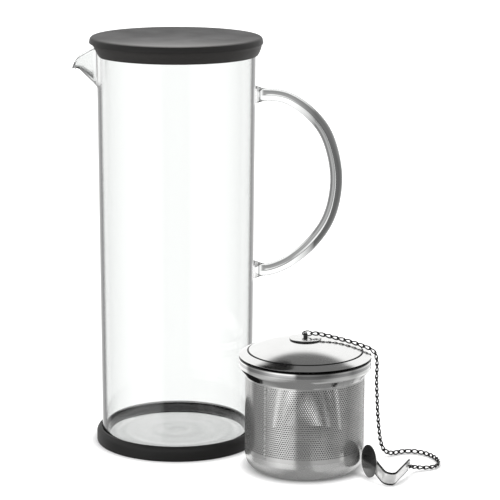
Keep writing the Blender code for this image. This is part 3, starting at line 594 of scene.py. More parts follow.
# Painted reflection: the hook is painted nearly white, standing for the white sweep that it reflects
hook_steel = steel("hook_steel", (0.96, 0.96, 0.95), (1.0, 1.0, 0.99), 0.15, metallic=0.4)
disc_steel = steel("disc_steel", (0.7, 0.7, 0.69), (0.8, 0.8, 0.79), 0.22, metallic=0.6)
print("steel has", len(cup_steel.nodes), "nodes")

# %% [markdown]
# Narrow grooves and rims of polished steel look black, because they turn toward something dark, so they get
# painted dark rings, a painted reflection. The ring at the foot of the dome's rim is a painted shadow of its
# gap above the collar. A dark ring is the place where a height or a radius lies close to a middle. The inner
# face of the perforated wall is painted dark too, as painted shade, so its holes read as holes.

# %% Painted dark rings of the steel
RING_BLUR = 0.06
WALL_INSIDE = (35.6, 35.5)
WALL_INSIDE_SHADE = (0.1, 0.1, 0.098)
# Material, whether the ring is one of height or of radius, its middle, half its width, and its grey
DARK_RINGS = (
    (dome_steel, "height", 68.38, 0.5, 0.02),
    (dome_steel, "radius", 34.1, 0.5, 0.015),
    (plate_steel, "radius", 9.55, 0.14, 0.06),
    (collar_steel, "height", 65.3, 0.9, 0.55),
    (collar_steel, "height", 67.6, 0.45, 0.04),
)
# Painted reflection in grooves and rims, and a painted shadow under the dome's rim
for ringed, kind, middle, half, grey in DARK_RINGS:
    ringed_place = ringed.centred(INFUSER)
    level = ringed.parts(ringed_place)["Z"] if kind == "height" else ringed.from_axis(ringed_place)
    off = ringed.calc("ABSOLUTE", ringed.calc("SUBTRACT", level, middle * MM))
    ringed.recolor(ringed.rise(off, half + RING_BLUR, half - RING_BLUR), (grey, grey, grey))
# Painted shade on the inner face of the perforated wall
mesh_radius = mesh_steel.from_axis(mesh_steel.centred(INFUSER))
mesh_steel.recolor(mesh_steel.rise(mesh_radius, *WALL_INSIDE), WALL_INSIDE_SHADE)
print(len(DARK_RINGS), "dark rings")

# %% [markdown]
# The jug's cup is one closed skin: from the middle of its underside round the corner, up the outside,
# over the rounded rim, down the inside and back to the middle of the thicker floor. Two weak ripples in
# the floor are the press marks that show as pale rings. The spout can't be spun, so its points are
# drawn out afterwards.

# %% Profile of the glass cup
FLOOR_TOP = 5.3
GLASS_WALL = 2.0
GLASS_CORNER = 6.0
UNDERSIDE_RADIUS = 20
SPOUT_RISE = 27.1
RIM_ROUND = 0.9
RIM_BEAD = 0.95
SPIN_STEPS = 180
WALL_SLANT = TOP_RADIUS - BASE_RADIUS
WALL_ROWS = (18, 40, 80, 120, 160, 200, 214)
SPOUT_ROWS = 14
FLOOR_RIPPLES = (
    (37, 0.0), (34, 0.12), (31, 0.0), (26, -0.1), (21, 0.0), (14, 0.0), (9, 0.12), (5, 0.0), (0, 0.0),
)


def wall_radius(height):
    """Outer radius of the cup at a height."""
    return BASE_RADIUS + WALL_SLANT * (height - GLASS_BOTTOM) / (GLASS_HEIGHT - GLASS_BOTTOM)


rim_start = GLASS_HEIGHT - RIM_ROUND
spout_start = GLASS_HEIGHT - SPOUT_RISE
rows = list(WALL_ROWS)
rows += [spout_start + (rim_start - spout_start) * i / SPOUT_ROWS for i in range(SPOUT_ROWS + 1)]
inner_round = GLASS_CORNER - GLASS_WALL
cup = [(0, GLASS_BOTTOM), (UNDERSIDE_RADIUS, GLASS_BOTTOM)]
cup += arc((BASE_RADIUS - GLASS_CORNER, GLASS_BOTTOM + GLASS_CORNER), GLASS_CORNER, -90, 0, 8)
cup += [(wall_radius(height), height) for height in rows]
rim_centre = (wall_radius(rim_start) - GLASS_WALL / 2, rim_start)
cup += arc(rim_centre, RIM_BEAD, 20, 160, 6)
cup += [(wall_radius(height) - GLASS_WALL, height) for height in reversed(rows)]
cup += arc((BASE_RADIUS - GLASS_WALL - inner_round, FLOOR_TOP + inner_round), inner_round, 0, -90, 8)
cup += [(radius, FLOOR_TOP + ripple) for radius, ripple in FLOOR_RIPPLES]
spin_profile(JUG, cup, SPIN_STEPS)
jug_cup = apply_place()
print("glass cup", len(jug_cup.data.vertices), "points")

# %% [markdown]
# The spout was drawn out of the soft rim with a tool: it reaches out and droops at its tip, and both
# fade to nothing towards its sides and its foot. Each point near it moves by the same two curves,
# inside and outside.

# %% Drawing the spout
SPOUT_REACH = 15.1
SPOUT_DROP = 15.9
SPOUT_HALF_ANGLE = math.radians(19)
SPOUT_HEIGHTS = (0.0, 0.25, 0.5, 0.75, 0.9, 1.0)
SPOUT_REACHES = (0.0, 0.245, 0.497, 0.722, 0.874, 1.0)
SPOUT_DROPS = (0.0, 0.189, 0.368, 0.579, 0.78, 1.0)
LIP_WEIGHTS = (0.0, 0.1, 0.46, 0.8, 0.9, 1.0)
LIP_DROPS = (0.0, 0.12, 0.36, 0.58, 0.74, 1.0)

for vertex in jug_cup.data.vertices:
    offset = vertex.co - JUG
    height = offset.z / MM
    if height < spout_start:
        continue
    angle = math.atan2(offset.y, -offset.x)
    weight = math.cos(math.pi / 2 * min(1.0, abs(angle) / SPOUT_HALF_ANGLE)) ** 2
    share = min(1.0, (height - spout_start) / (rim_start - spout_start))
    reach = SPOUT_REACH * weight * float(np.interp(share, SPOUT_HEIGHTS, SPOUT_REACHES))
    lip = weight + share * (float(np.interp(weight, LIP_WEIGHTS, LIP_DROPS)) - weight)
    drop = SPOUT_DROP * lip * float(np.interp(share, SPOUT_HEIGHTS, SPOUT_DROPS))
    outward = Vector((offset.x, offset.y, 0)).normalized()
    vertex.co += outward * reach * MM - Vector((0, 0, drop * MM))
print("spout reaches", round(-min(v.co.x for v in jug_cup.data.vertices) / MM, 1), "mm toward -X")

# %% [markdown]
# The handle is a bent solid rod, melted onto the wall with a small swelling at each end. A curve with a
# round bevel gives the rod, and the radius of its first and last points gives the swellings. The curve
# runs smoothly through a few knots, and its points are spaced evenly along it.

# %% Smooth lines and tubes
KNOT_STEPS = 24


def smooth_line(knots, count):
    """Evenly spaced points on a smooth curve through the knots, any number of values a point."""
    knots = np.array(knots, float)
    steps = np.linalg.norm(np.diff(knots[:, :3], axis=0), axis=1)
    places = np.concatenate(([0.0], np.cumsum(np.sqrt(steps))))
    slopes = np.gradient(knots, places, axis=0)
    fine = []
    for i in range(len(knots) - 1):
        span = places[i + 1] - places[i]
        for t in np.linspace(0.0, 1.0, KNOT_STEPS, endpoint=False):
            fine.append(
                (2 * t**3 - 3 * t**2 + 1) * knots[i]
                + (t**3 - 2 * t**2 + t) * span * slopes[i]
                + (3 * t**2 - 2 * t**3) * knots[i + 1]
                + (t**3 - t**2) * span * slopes[i + 1]
            )
    fine.append(knots[-1])
    fine = np.array(fine)
    run = np.concatenate(([0.0], np.cumsum(np.linalg.norm(np.diff(fine[:, :3], axis=0), axis=1))))
    even = np.linspace(0.0, run[-1], count)
    line = [[float(np.interp(place, run, column)) for column in fine.T] for place in even]
    return line, float(run[-1])


def tube(points, radii, sides, looped=False):
    """Bevelled curve through points in metres, turned into the active mesh."""
    data = bpy.data.curves.new("tube", "CURVE")
    data.dimensions = "3D"
    data.bevel_depth = 1.0
    data.bevel_resolution = max(0, sides // 2 - 2)
    data.use_fill_caps = not looped
    line = data.splines.new("POLY")
    line.points.add(len(points) - 1)
    for point, place, radius in zip(line.points, points, radii):
        point.co = (*place, 1)
        point.radius = radius
    line.use_cyclic_u = looped
    activate(add_object("tube", data))
    bpy.ops.object.convert(target="MESH")
    bpy.ops.object.mode_set(mode="EDIT")
    close_up(1e-7)
    bpy.ops.object.mode_set(mode="OBJECT")
    return active()


def wire_ring(place_at, wire, count, sides=12):
    """Closed wire through the place that a function gives for each angle of a full turn."""
    points = [place_at(2 * math.pi * i / count) for i in range(count)]
    return tube(points, [wire / 2 * MM] * count, sides, looped=True)


print("a curve has", KNOT_STEPS, "steps from knot to knot")

# %% [markdown]
# The handle's knots are given as shares of its reach and of its height, from the upper leg round to the
# lower one. Its ends stop inside the wall, and a boolean union fuses it with the cup, so light finds no
# gap between them. The glass casts no plain shadow, because real glass lets the light through to the
# table.

# %% Glass handle
HANDLE_REACH = 49.7
HANDLE_RADIUS = 3.85
HANDLE_SINK = 0.75
HANDLE_POINTS = 120
HANDLE_SIDES = 24
HANDLE_SHARES = (
    (0.25, 0.998), (0.41, 0.98), (0.67, 0.90), (0.875, 0.78), (1.0, 0.57), (0.98, 0.40),
    (0.885, 0.27), (0.685, 0.145), (0.45, 0.055), (0.33, 0.025), (0.21, 0.005),
)
HANDLE_END_STEPS = ((-1.0, 1.52), (0.5, 1.45), (2.2, 1.3), (4.8, 1.08), (7.5, 1.0))
handle_start = TOP_RADIUS - HANDLE_SINK
handle_knots = [(handle_start + reach, 0.0, HANDLE_TOP, swell) for reach, swell in HANDLE_END_STEPS]
for reach_share, height_share in HANDLE_SHARES:
    height = HANDLE_BOTTOM + height_share * (HANDLE_TOP - HANDLE_BOTTOM)
    handle_knots.append((handle_start + reach_share * HANDLE_REACH, 0.0, height, 1.0))
for reach, swell in reversed(HANDLE_END_STEPS):
    handle_knots.append((handle_start + reach, 0.0, HANDLE_BOTTOM, swell))

handle_line, handle_length = smooth_line(handle_knots, HANDLE_POINTS)
handle_points = [JUG + Vector((x, y, z)) * MM for x, y, z, _ in handle_line]
handle_radii = [HANDLE_RADIUS * swell * MM for *_, swell in handle_line]
jug_handle = tube(handle_points, handle_radii, HANDLE_SIDES)
modify(jug_cup, "BOOLEAN", operation="UNION", solver="EXACT", object=jug_handle)
bpy.data.objects.remove(jug_handle)
jug_glass = settle("jug_glass", glass, "jug", ("jug_body", "jug_handle"))
jug_glass.visible_shadow = False
jug_glass.visible_glossy = False
print("handle", round(handle_length, 1), "mm along its middle")

# %% [markdown]
# The foot is a low silicone ring that grips the corner of the glass. It is open in the middle, so the
# table shows through the floor of the jug. Its outside is almost straight, and it narrows to a thin lip
# on the glass.

# %% Base ring
RING_RADIUS = 50.0
RING_BORE = 43.5
RING_TOP = 8.95
RING_CHAMFER = 0.3
RING_FOOT_ROUND = 0.8
SHOULDER_ROUND = 3.4
SHOULDER_HEIGHT = 5.6
SIDE_HEIGHT = 4.6
LIP_ROUND = 0.5
LIP_MIDDLE = 47.95
LIP_INSIDE = 46.85
SEAT_GAP = 0.3
SEAT_RADIUS = GLASS_CORNER + SEAT_GAP
seat_centre = (BASE_RADIUS - GLASS_CORNER, GLASS_BOTTOM + GLASS_CORNER)
lip_angle = math.degrees(math.acos((RING_BORE - seat_centre[0]) / SEAT_RADIUS))
ring = [(RING_BORE, RING_CHAMFER), (RING_BORE + RING_CHAMFER, 0)]
ring += arc((RING_RADIUS - RING_FOOT_ROUND, RING_FOOT_ROUND), RING_FOOT_ROUND, -90, 0, 5)
ring += [(RING_RADIUS, SIDE_HEIGHT)]
ring += arc((RING_RADIUS - SHOULDER_ROUND, SHOULDER_HEIGHT), SHOULDER_ROUND, 4, 48, 5)
ring += arc((LIP_MIDDLE, RING_TOP - LIP_ROUND), LIP_ROUND, 60, 100, 3)
ring += [(LIP_INSIDE + 0.35, RING_TOP), (LIP_INSIDE, RING_TOP - 0.3)]
ring += arc(seat_centre, SEAT_RADIUS, 0, -lip_angle, 6)
spin_profile(JUG, ring, SPIN_STEPS, closed=True)
settle("base_ring_soft", foot_silicone, "jug", ("base_ring",))

# %% [markdown]
# The cap is a disc with a skirt that draws in under it and a plug that fills the rim. The whole section
# is spun with many narrow columns, because the next step needs them.

# %% Jug lid
LID_RADIUS = 52.5
LID_UNDERSIDE = 248.5
LID_TOP = 251.5
LID_EDGE = 2.0
SKIRT_BOTTOM = LID_TOP - 10.9
LID_BORE = TOP_RADIUS + 0.3
BORE_STEP = 244.5
PLUG_OUTSIDE = TOP_RADIUS - GLASS_WALL - 0.4
PLUG_INSIDE = PLUG_OUTSIDE - 2.5
PLUG_ROUND = 0.7
PLUG_BOTTOM = LID_UNDERSIDE - 6.5
LID_STEPS = 480
SKIRT_ROWS = 14
SKIRT_FULL = 0.33
SKIRT_CURVE = 1.8
SKIRT_BULGE = 0.4
SKIRT_TUCK = 0.45
SKIRT_EDGE = 0.85
SKIRT_BULGE_SPAN = 0.14
SKIRT_TUCK_SPAN = 0.1
DISC_COLUMNS = (0, 25, 48.5)

side_top = LID_TOP - LID_EDGE
skirt_draw = LID_RADIUS - LID_BORE - 1.0 - SKIRT_EDGE
skirt = []
for i in range(1, SKIRT_ROWS + 1):
    height = side_top + (SKIRT_BOTTOM + 0.25 - side_top) * i / SKIRT_ROWS
    share = (LID_TOP - height) / (LID_TOP - SKIRT_BOTTOM)
    drawn = max(0.0, (share - SKIRT_FULL) / (1 - SKIRT_FULL)) ** SKIRT_CURVE
    bulge = SKIRT_BULGE * max(0.0, 1 - abs(share - SKIRT_FULL) / SKIRT_BULGE_SPAN)
    tuck = SKIRT_TUCK * min(1.0, max(0.0, (share - SKIRT_FULL) / SKIRT_TUCK_SPAN))
    skirt.append((LID_RADIUS - SKIRT_BULGE + bulge - tuck - skirt_draw * drawn, height))
lid = [(radius, LID_TOP) for radius in DISC_COLUMNS]
lid += arc((LID_RADIUS - SKIRT_BULGE - LID_EDGE, side_top), LID_EDGE, 90, 8, 6)
lid += skirt
lid += [(LID_BORE + 0.8, SKIRT_BOTTOM), (LID_BORE + 0.2, SKIRT_BOTTOM), (LID_BORE, SKIRT_BOTTOM + 0.2)]
lid += [(LID_BORE, BORE_STEP), (LID_BORE, LID_UNDERSIDE), (PLUG_OUTSIDE, LID_UNDERSIDE)]
lid += [(PLUG_OUTSIDE, PLUG_BOTTOM + PLUG_ROUND), (PLUG_OUTSIDE - PLUG_ROUND, PLUG_BOTTOM)]
lid += [(PLUG_INSIDE + PLUG_ROUND, PLUG_BOTTOM), (PLUG_INSIDE, PLUG_BOTTOM + PLUG_ROUND)]
lid += [(PLUG_INSIDE, LID_UNDERSIDE), (0, LID_UNDERSIDE)]
spin_profile(JUG, lid, LID_STEPS)
jug_lid = apply_place()
print("jug lid", len(jug_lid.data.vertices), "points")

# %% [markdown]
# Over the spout the cap has no skirt, so tea can pour out under its peak, and fine ribs stand on the
# skirt beside that cut. The skirt's points are pulled up there along a smooth curve, and every second
# column beside the cut is pushed in a little, which makes the ribs.

# %% Skirt cut away over the spout
CUT_START = math.radians(18.5)
CUT_CORNER = math.radians(10)
CUT_ANGLES = (0.0, 0.04, 0.2, 0.4, 0.7, 1.0)
CUT_HEIGHTS = (0.0, 0.3, 0.62, 0.84, 0.96, 1.0)
CUT_TOP = LID_TOP - 3.6
RIB_DEPTH = 0.16
RIB_SPAN = math.radians(9)
RAISED_OUTER = LID_UNDERSIDE - 1.0
RAISED_INNER = LID_UNDERSIDE - 0.3
HAIR = 0.01
for vertex in jug_lid.data.vertices:
    offset = vertex.co - JUG
    height = offset.z / MM
    radius = Vector((offset.x, offset.y)).length / MM
    if radius < LID_BORE - HAIR or height > side_top - HAIR:
        continue
    outer = radius > LID_BORE + HAIR
    angle = abs(math.atan2(offset.y, -offset.x))
    bare = float(np.interp((angle - CUT_START) / CUT_CORNER, CUT_ANGLES, CUT_HEIGHTS))
    raised = RAISED_OUTER if outer else RAISED_INNER
    bottom = raised + (SKIRT_BOTTOM - raised) * bare
    top = CUT_TOP if outer else LID_UNDERSIDE
    if height < top:
        share = (top - height) / (top - SKIRT_BOTTOM)
        vertex.co.z = (top + share * (bottom - top)) * MM
    ribs = 0.0
    if CUT_START < angle < CUT_START + RIB_SPAN and radius > LID_BORE + 1.2:
        column = round((angle - CUT_START) / (2 * math.pi / LID_STEPS))
        ribs = RIB_DEPTH * (column % 2) * math.sin(math.pi * (angle - CUT_START) / RIB_SPAN)
    vertex.co -= Vector((offset.x, offset.y, 0)).normalized() * ribs * MM
settle("jug_lid_soft", cap_silicone, "jug_cap", ("jug_lid",), 50)

# %% [markdown]
# The infuser's floor is a pressed cup with a large soft corner, and its collar flares out of the wall
# to carry the lid. Both are thin sheet, spun with their inner and outer faces in one closed section.

# %% Infuser floor and collar
BASKET_RADIUS = 35.7
SHEET = 0.8
CUP_CORNER = 8.5
CUP_HEIGHT = 11.5
COLLAR_RADIUS = 39.4
COLLAR_BOTTOM = 57.3
COLLAR_TOP = 67.75
COLLAR_SLANT = 4.7
ROUND_STEPS = 160
corner_centre = (BASKET_RADIUS - CUP_CORNER, CUP_CORNER)
floor_cup = [(0, 0), (14, 0)]
floor_cup += arc(corner_centre, CUP_CORNER, -90, 0, 12)
floor_cup += [(BASKET_RADIUS, CUP_HEIGHT), (BASKET_RADIUS - SHEET, CUP_HEIGHT)]
floor_cup += arc(corner_centre, CUP_CORNER - SHEET, 0, -90, 12)
floor_cup += [(16, SHEET), (14, SHEET + 0.25), (9, SHEET + 0.25), (7.5, SHEET), (0, SHEET)]
spin_profile(INFUSER, floor_cup, ROUND_STEPS)
settle("basket_cup", cup_steel, "infuser", ("basket_floor",))

slant_top = COLLAR_BOTTOM + COLLAR_SLANT
collar_inside = COLLAR_RADIUS - SHEET
collar = [(BASKET_RADIUS, COLLAR_BOTTOM), (BASKET_RADIUS + 0.25, COLLAR_BOTTOM + 0.7)]
collar += [(COLLAR_RADIUS - 0.7, slant_top - 0.9), (COLLAR_RADIUS - 0.15, slant_top - 0.1)]
collar += [(COLLAR_RADIUS, slant_top + 0.7), (COLLAR_RADIUS, COLLAR_TOP - 0.25)]
collar += [(COLLAR_RADIUS - 0.25, COLLAR_TOP), (collar_inside + 0.2, COLLAR_TOP)]
collar += [(collar_inside, COLLAR_TOP - 0.2), (collar_inside, slant_top + 0.5)]
collar += [(BASKET_RADIUS - SHEET, COLLAR_BOTTOM)]
spin_profile(INFUSER, collar, ROUND_STEPS, closed=True)
settle("basket_flared_collar", collar_steel, "infuser", ("basket_collar",))

# %% [markdown]
# The wall is perforated sheet. One cell with a six-cornered hole is drawn flat, and its neighbour sits
# half a step aside, as the holes do on the real sheet. Array modifiers repeat the pair along and up,
# and the plain bands are extruded at the top and bottom.

# %% One cell of the perforated sheet
HOLE_COLUMNS = 156
HOLE_ROWS = 34
HOLE_CORNERS = 6
WALL_BOTTOM = 11.52
WALL_TOP = 57.28
TOP_BAND = 0.9
HOLE_PITCH = 2 * math.pi * BASKET_RADIUS / HOLE_COLUMNS
ROW_PITCH = HOLE_PITCH * math.sqrt(3) / 2
HOLE_RADIUS = 0.46
SHEET_MERGE = 2e-6
bottom_band = WALL_TOP - WALL_BOTTOM - HOLE_ROWS * ROW_PITCH - TOP_BAND
cell_points = []
cell_faces = []
half_cell = HOLE_PITCH / 2
for row in (0, 1):
    middle_x = half_cell * (1 + row)
    middle_z = (row + 0.5) * ROW_PITCH
    first = len(cell_points)
    for i in range(HOLE_CORNERS):
        angle = math.radians(90 - 60 * i)
        side = round(math.cos(angle) * 2 / math.sqrt(3))
        level = 1 if i in (0, 1, 5) else -1
        corner = Vector((math.cos(angle), 0, math.sin(angle)))
        cell_points.append(Vector((middle_x, 0, middle_z)) + HOLE_RADIUS * corner)
        cell_points.append(Vector((middle_x + side * half_cell, 0, middle_z + level * ROW_PITCH / 2)))
    for i in range(HOLE_CORNERS):
        j = (i + 1) % HOLE_CORNERS
        cell_faces.append((first + 2 * i, first + 2 * i + 1, first + 2 * j + 1, first + 2 * j))
cell_mesh = bpy.data.meshes.new("wall_sheet")
cell_mesh.from_pydata([point * MM for point in cell_points], [], cell_faces)
wall_sheet = add_object("wall_sheet", cell_mesh)
print("hole pitch", round(HOLE_PITCH, 3), "mm, lower plain band", round(bottom_band, 2), "mm")

# %% Repeating the cell and adding the plain bands
array_steps = (
    (HOLE_COLUMNS, (HOLE_PITCH * MM, 0, 0)),
    (HOLE_ROWS // 2, (0, 0, 2 * ROW_PITCH * MM)),
)
for count, step in array_steps:
    modify(
        wall_sheet,
        "ARRAY",
        count=count,
        use_relative_offset=False,
        use_constant_offset=True,
        constant_offset_displace=step,
    )
bpy.ops.object.mode_set(mode="EDIT")
bpy.ops.mesh.select_all(action="SELECT")
bpy.ops.mesh.remove_doubles(threshold=SHEET_MERGE)
for level, band in ((HOLE_ROWS * ROW_PITCH * MM, TOP_BAND), (0.0, -bottom_band)):
    sheet_shape = bmesh.from_edit_mesh(wall_sheet.data)
    bpy.ops.mesh.select_all(action="DESELECT")
    for vertex in sheet_shape.verts:
        vertex.select = abs(vertex.co.z - level) < 1e-5
    sheet_shape.select_flush(True)
    bmesh.update_edit_mesh(wall_sheet.data)
    bpy.ops.mesh.select_mode(type="EDGE")
    extrude((0, 0, band * MM))
    bpy.ops.mesh.select_mode(type="VERT")
start_clean()
print("flat sheet", len(wall_sheet.data.polygons), "faces")

# %% [markdown]
# Then the flat sheet is rolled: how far a point lies along it becomes an angle round the infuser. Its
# two ends meet and are merged, and Solidify gives it its thickness toward the inside.

# %% Rolling the sheet into a tube
ROLL_START = math.radians(226)
WALL_SHEET = 0.5


def round_wall(angle, reach, height):
    """Point of the infuser's wall, its reach and height in metres."""
    return INFUSER + Vector((reach * math.cos(angle), reach * math.sin(angle), height))


low_edge = min(vertex.co.z for vertex in wall_sheet.data.vertices)
for vertex in wall_sheet.data.vertices:
    angle = vertex.co.x / (BASKET_RADIUS * MM) + ROLL_START
    vertex.co = round_wall(angle, BASKET_RADIUS * MM, vertex.co.z - low_edge + WALL_BOTTOM * MM)
activate(wall_sheet)
bpy.ops.object.mode_set(mode="EDIT")
close_up(SHEET_MERGE)
modify(wall_sheet, "SOLIDIFY", thickness=WALL_SHEET * MM, offset=-1)
settle("basket_perforated_wall", mesh_steel, "infuser", ("basket_wall",))

# %% [markdown]
# The tube is closed by a welded seam, a flat strip on its left front. A plane is laid along the wall,
# divided across, pushed out to the radius of the wall and given a little thickness.

# %% Seam of the wall
SEAM_ANGLE = math.radians(228)
SEAM_WIDTH = 1.5
SEAM_SHEET = 0.14
SEAM_END = 0.3
SEAM_LIFT = 0.02
start_clean()
bpy.ops.mesh.primitive_plane_add(size=1, location=(0, 0, 0))
bpy.ops.object.mode_set(mode="EDIT")
bpy.ops.mesh.subdivide(number_cuts=3)
bpy.ops.object.mode_set(mode="OBJECT")
seam = active()
for vertex in seam.data.vertices:
    angle = SEAM_ANGLE + vertex.co.x * SEAM_WIDTH / BASKET_RADIUS
    height = WALL_BOTTOM + SEAM_END + (vertex.co.y + 0.5) * (WALL_TOP - WALL_BOTTOM - 2 * SEAM_END)
    vertex.co = round_wall(angle, (BASKET_RADIUS + SEAM_LIFT) * MM, height * MM)
modify(seam, "SOLIDIFY", thickness=SEAM_SHEET * MM, offset=1)
settle("basket_seam", seam_steel, "infuser")

# %% [markdown]
# The lid is a shallow dome pressed from one disc. A fine bead runs round it, outside that a flat rim
# slopes down to the collar, and a skirt below plugs into the collar. The bead is a narrow groove with
# soft lips.

# %% Infuser lid
DOME_TOP = 78.7
DOME_SPHERE = 84.0
BEAD_RADIUS = 34.1
BEAD_HALF = 0.42
BEAD_FLAT = 0.12
BEAD_DEPTH = 0.75
RIM_BOTTOM = 68.6
RIM_BREAK = (37, 70.15)
PLUG_RADIUS = COLLAR_RADIUS - SHEET - 1.1
PLUG_DEPTH = 5.4
DOME_INSIDE = 69.0


def dome_height(radius, offset=0.0):
    """Height of the dome at a radius, or of a surface at an offset above it."""
    return DOME_TOP - DOME_SPHERE + math.sqrt((DOME_SPHERE + offset) ** 2 - radius**2)


rim_top = RIM_BOTTOM + 0.45
bead_floor = dome_height(BEAD_RADIUS) - BEAD_DEPTH
bead_in = BEAD_RADIUS - BEAD_HALF
bead_out = BEAD_RADIUS + BEAD_HALF
dome = [(0, DOME_TOP)]
dome += [(radius, dome_height(radius)) for radius in range(3, 34, 3)]
dome += [(bead_in, dome_height(bead_in)), (BEAD_RADIUS - BEAD_FLAT, bead_floor)]
dome += [(BEAD_RADIUS + BEAD_FLAT, bead_floor), (bead_out, dome_height(bead_out))]
dome += [RIM_BREAK, (COLLAR_RADIUS - 0.3, rim_top + 0.1), (COLLAR_RADIUS, rim_top - 0.15)]
dome += [(COLLAR_RADIUS, RIM_BOTTOM), (PLUG_RADIUS, RIM_BOTTOM), (PLUG_RADIUS, RIM_BOTTOM - PLUG_DEPTH)]
dome += [(PLUG_RADIUS - SHEET, RIM_BOTTOM - PLUG_DEPTH), (PLUG_RADIUS - SHEET, DOME_INSIDE)]
dome += [(radius, dome_height(radius, -SHEET)) for radius in range(33, 2, -3)]
dome += [(0, DOME_TOP - SHEET)]
spin_profile(INFUSER, dome, ROUND_STEPS)
settle("infuser_dome", dome_steel, "infuser_cover", ("infuser_lid",))

# %% [markdown]
# On the middle of the dome sits a small dished washer with a bent strap, and an oval wire ring hangs on
# the strap. The washer is spun so that it follows the dome. The strap is a flat bar, extruded and
# turned step by step round its two corners, and a narrow bevel takes off its sharp edges.

# %% Eye plate
PLATE_RADIUS = 9.5
PLATE_LOW = 0.3
PLATE_HIGH = 0.9
PLATE_STEPS = 72
plate_rim = dome_height(PLATE_RADIUS, PLATE_HIGH)
plate = [(radius, dome_height(radius, PLATE_HIGH)) for radius in (0, 4, 8.6)]
plate += [(PLATE_RADIUS - 0.15, plate_rim - 0.05), (PLATE_RADIUS, plate_rim - 0.2)]
plate += [(radius, dome_height(radius, PLATE_LOW)) for radius in (PLATE_RADIUS, 4, 0)]
spin_profile(INFUSER, plate, PLATE_STEPS)
settle("eye_washer", plate_steel, "chain", ("eye_plate",))

# %% Eye staple
STAPLE_WIDTH = 2.4
STAPLE_SHEET = 0.7
STAPLE_SPAN = 6.6
STAPLE_HEIGHT = 2.2
STAPLE_BEND = 0.85
STAPLE_TURNS = 4
FINE_EDGE = 0.12
staple_feet = dome_height(0, 1.2)
staple_half = (STAPLE_SPAN - STAPLE_SHEET) / 2
straight_rise = STAPLE_HEIGHT - STAPLE_BEND - STAPLE_SHEET / 2

start_clean()
bpy.ops.mesh.primitive_plane_add(size=MM, location=INFUSER + Vector((0, -staple_half, staple_feet)) * MM)
active().scale = (STAPLE_WIDTH, STAPLE_SHEET, 1)
apply_place()
bpy.ops.object.mode_set(mode="EDIT")
bpy.ops.mesh.select_all(action="SELECT")
extrude((0, 0, straight_rise * MM))
for side in (-1, 1):
    pivot_place = Vector((0, side * (staple_half - STAPLE_BEND), staple_feet + straight_rise))
    pivot = INFUSER + pivot_place * MM
    for _ in range(STAPLE_TURNS):
        extrude((0, 0, 0))
        bpy.ops.transform.rotate(value=math.pi / 2 / STAPLE_TURNS, orient_axis="X", center_override=pivot)
    if side == -1:
        extrude((0, 2 * (staple_half - STAPLE_BEND) * MM, 0))
extrude((0, 0, -straight_rise * MM))
close_up()
modify(active(), "BEVEL", width=FINE_EDGE * MM, segments=2)
settle("eye_strap", eye_steel, "chain", ("eye_staple",))

# %% [markdown]
# The chain is a real chain: forty-five separate links, each an oval of wire twisted by a quarter turn,
# so that the whole lies flat and rolls smoothly. Its route is a smooth line through knots measured from
# the infuser's axis: along the dome, over the lid's edge, down to the table and round to the hook.

# %% Route of the chain
CHAIN_LINKS = 45
CHAIN_WIRE = 0.62
WIRE_ROUND = 0.84
LINK_HALF_WIDTH = 1.06
LINK_PLAY = 0.46
LINK_TWIST = math.radians(90)
EYE_LENGTH = 5.8
EYE_HEIGHT = 3.0
EYE_WIRE = 0.7
EYE_SHIFT = 0.38
EYE_PLAY = 0.3
ROUTE_COUNT = 1801
CHAIN_ROUTE = (
    (8.0, 0.9, 81.4), (12.5, 1.4, 80.1), (16.5, 1.8, 79.0), (20.4, 2.2, 77.9), (24.3, 2.6, 76.8),
    (28.9, 3.1, 75.3), (32.5, 3.5, 74.0), (36.2, 3.9, 72.5), (39.4, 4.2, 71.2), (42.1, 4.6, 68.6),
    (43.0, 5.0, 63.6), (43.0, 6.0, 51.5), (43.6, 7.6, 40.0), (44.3, 9.4, 29.0), (45.5, 11.6, 17.5),
    (47.0, 13.6, 8.8), (49.5, 15.4, 3.8), (53.2, 17.8, 1.9), (57.6, 20.8, 1.8), (62.3, 22.8, 1.8),
    (66.8, 22.8, 1.8), (71.0, 21.2, 1.8), (74.9, 18.3, 1.8), (77.9, 14.0, 1.8), (80.1, 8.6, 1.8),
    (81.1, 2.6, 1.8), (80.4, -3.4, 1.8), (77.6, -7.4, 1.8), (73.7, -9.4, 1.9), (69.6, -10.3, 2.1),
    (66.1, -11.7, 2.8), (63.7, -14.1, 3.9), (61.8838, -17.2709, 5.125),
)
eye_middle = Vector((EYE_SHIFT * EYE_LENGTH / 2, 0, staple_feet + STAPLE_HEIGHT - STAPLE_SHEET / 2))
chain_start = eye_middle + Vector((EYE_LENGTH / 2 - EYE_WIRE / 2 - EYE_PLAY - CHAIN_WIRE / 2, 0, 0))
route, route_length = smooth_line([tuple(chain_start), *CHAIN_ROUTE], ROUTE_COUNT)
route = [Vector(point) for point in route]
overlap = CHAIN_WIRE + LINK_PLAY
pitch = (route_length - overlap) / CHAIN_LINKS
half_link = (pitch + overlap) / 2
print("chain", round(route_length, 1), "mm,", CHAIN_LINKS, "links of", round(2 * half_link, 2), "mm")


# %% Eye ring
def eye_place(angle):
    """Point of the oval eye ring."""
    offset = Vector((EYE_LENGTH / 2 * math.cos(angle), 0, EYE_HEIGHT / 2 * math.sin(angle)))
    return INFUSER + (eye_middle + offset) * MM


wire_ring(eye_place, EYE_WIRE, 32)
settle("eye_loop", chain_steel, "chain", ("eye_ring",), 60)

# %% [markdown]
# One link is modelled and copied along the route. Each copy is turned into the next by parallel transport,
# so the twist never jumps, and the copies are joined into one piece.


# %% One link, copied along the route
def link_place(angle):
    """Point of a twisted oval link."""
    twist = LINK_TWIST / 2 * math.cos(angle)
    wide = LINK_HALF_WIDTH * math.sin(angle)
    return Vector((half_link * math.cos(angle), wide * math.cos(twist), wide * math.sin(twist))) * MM


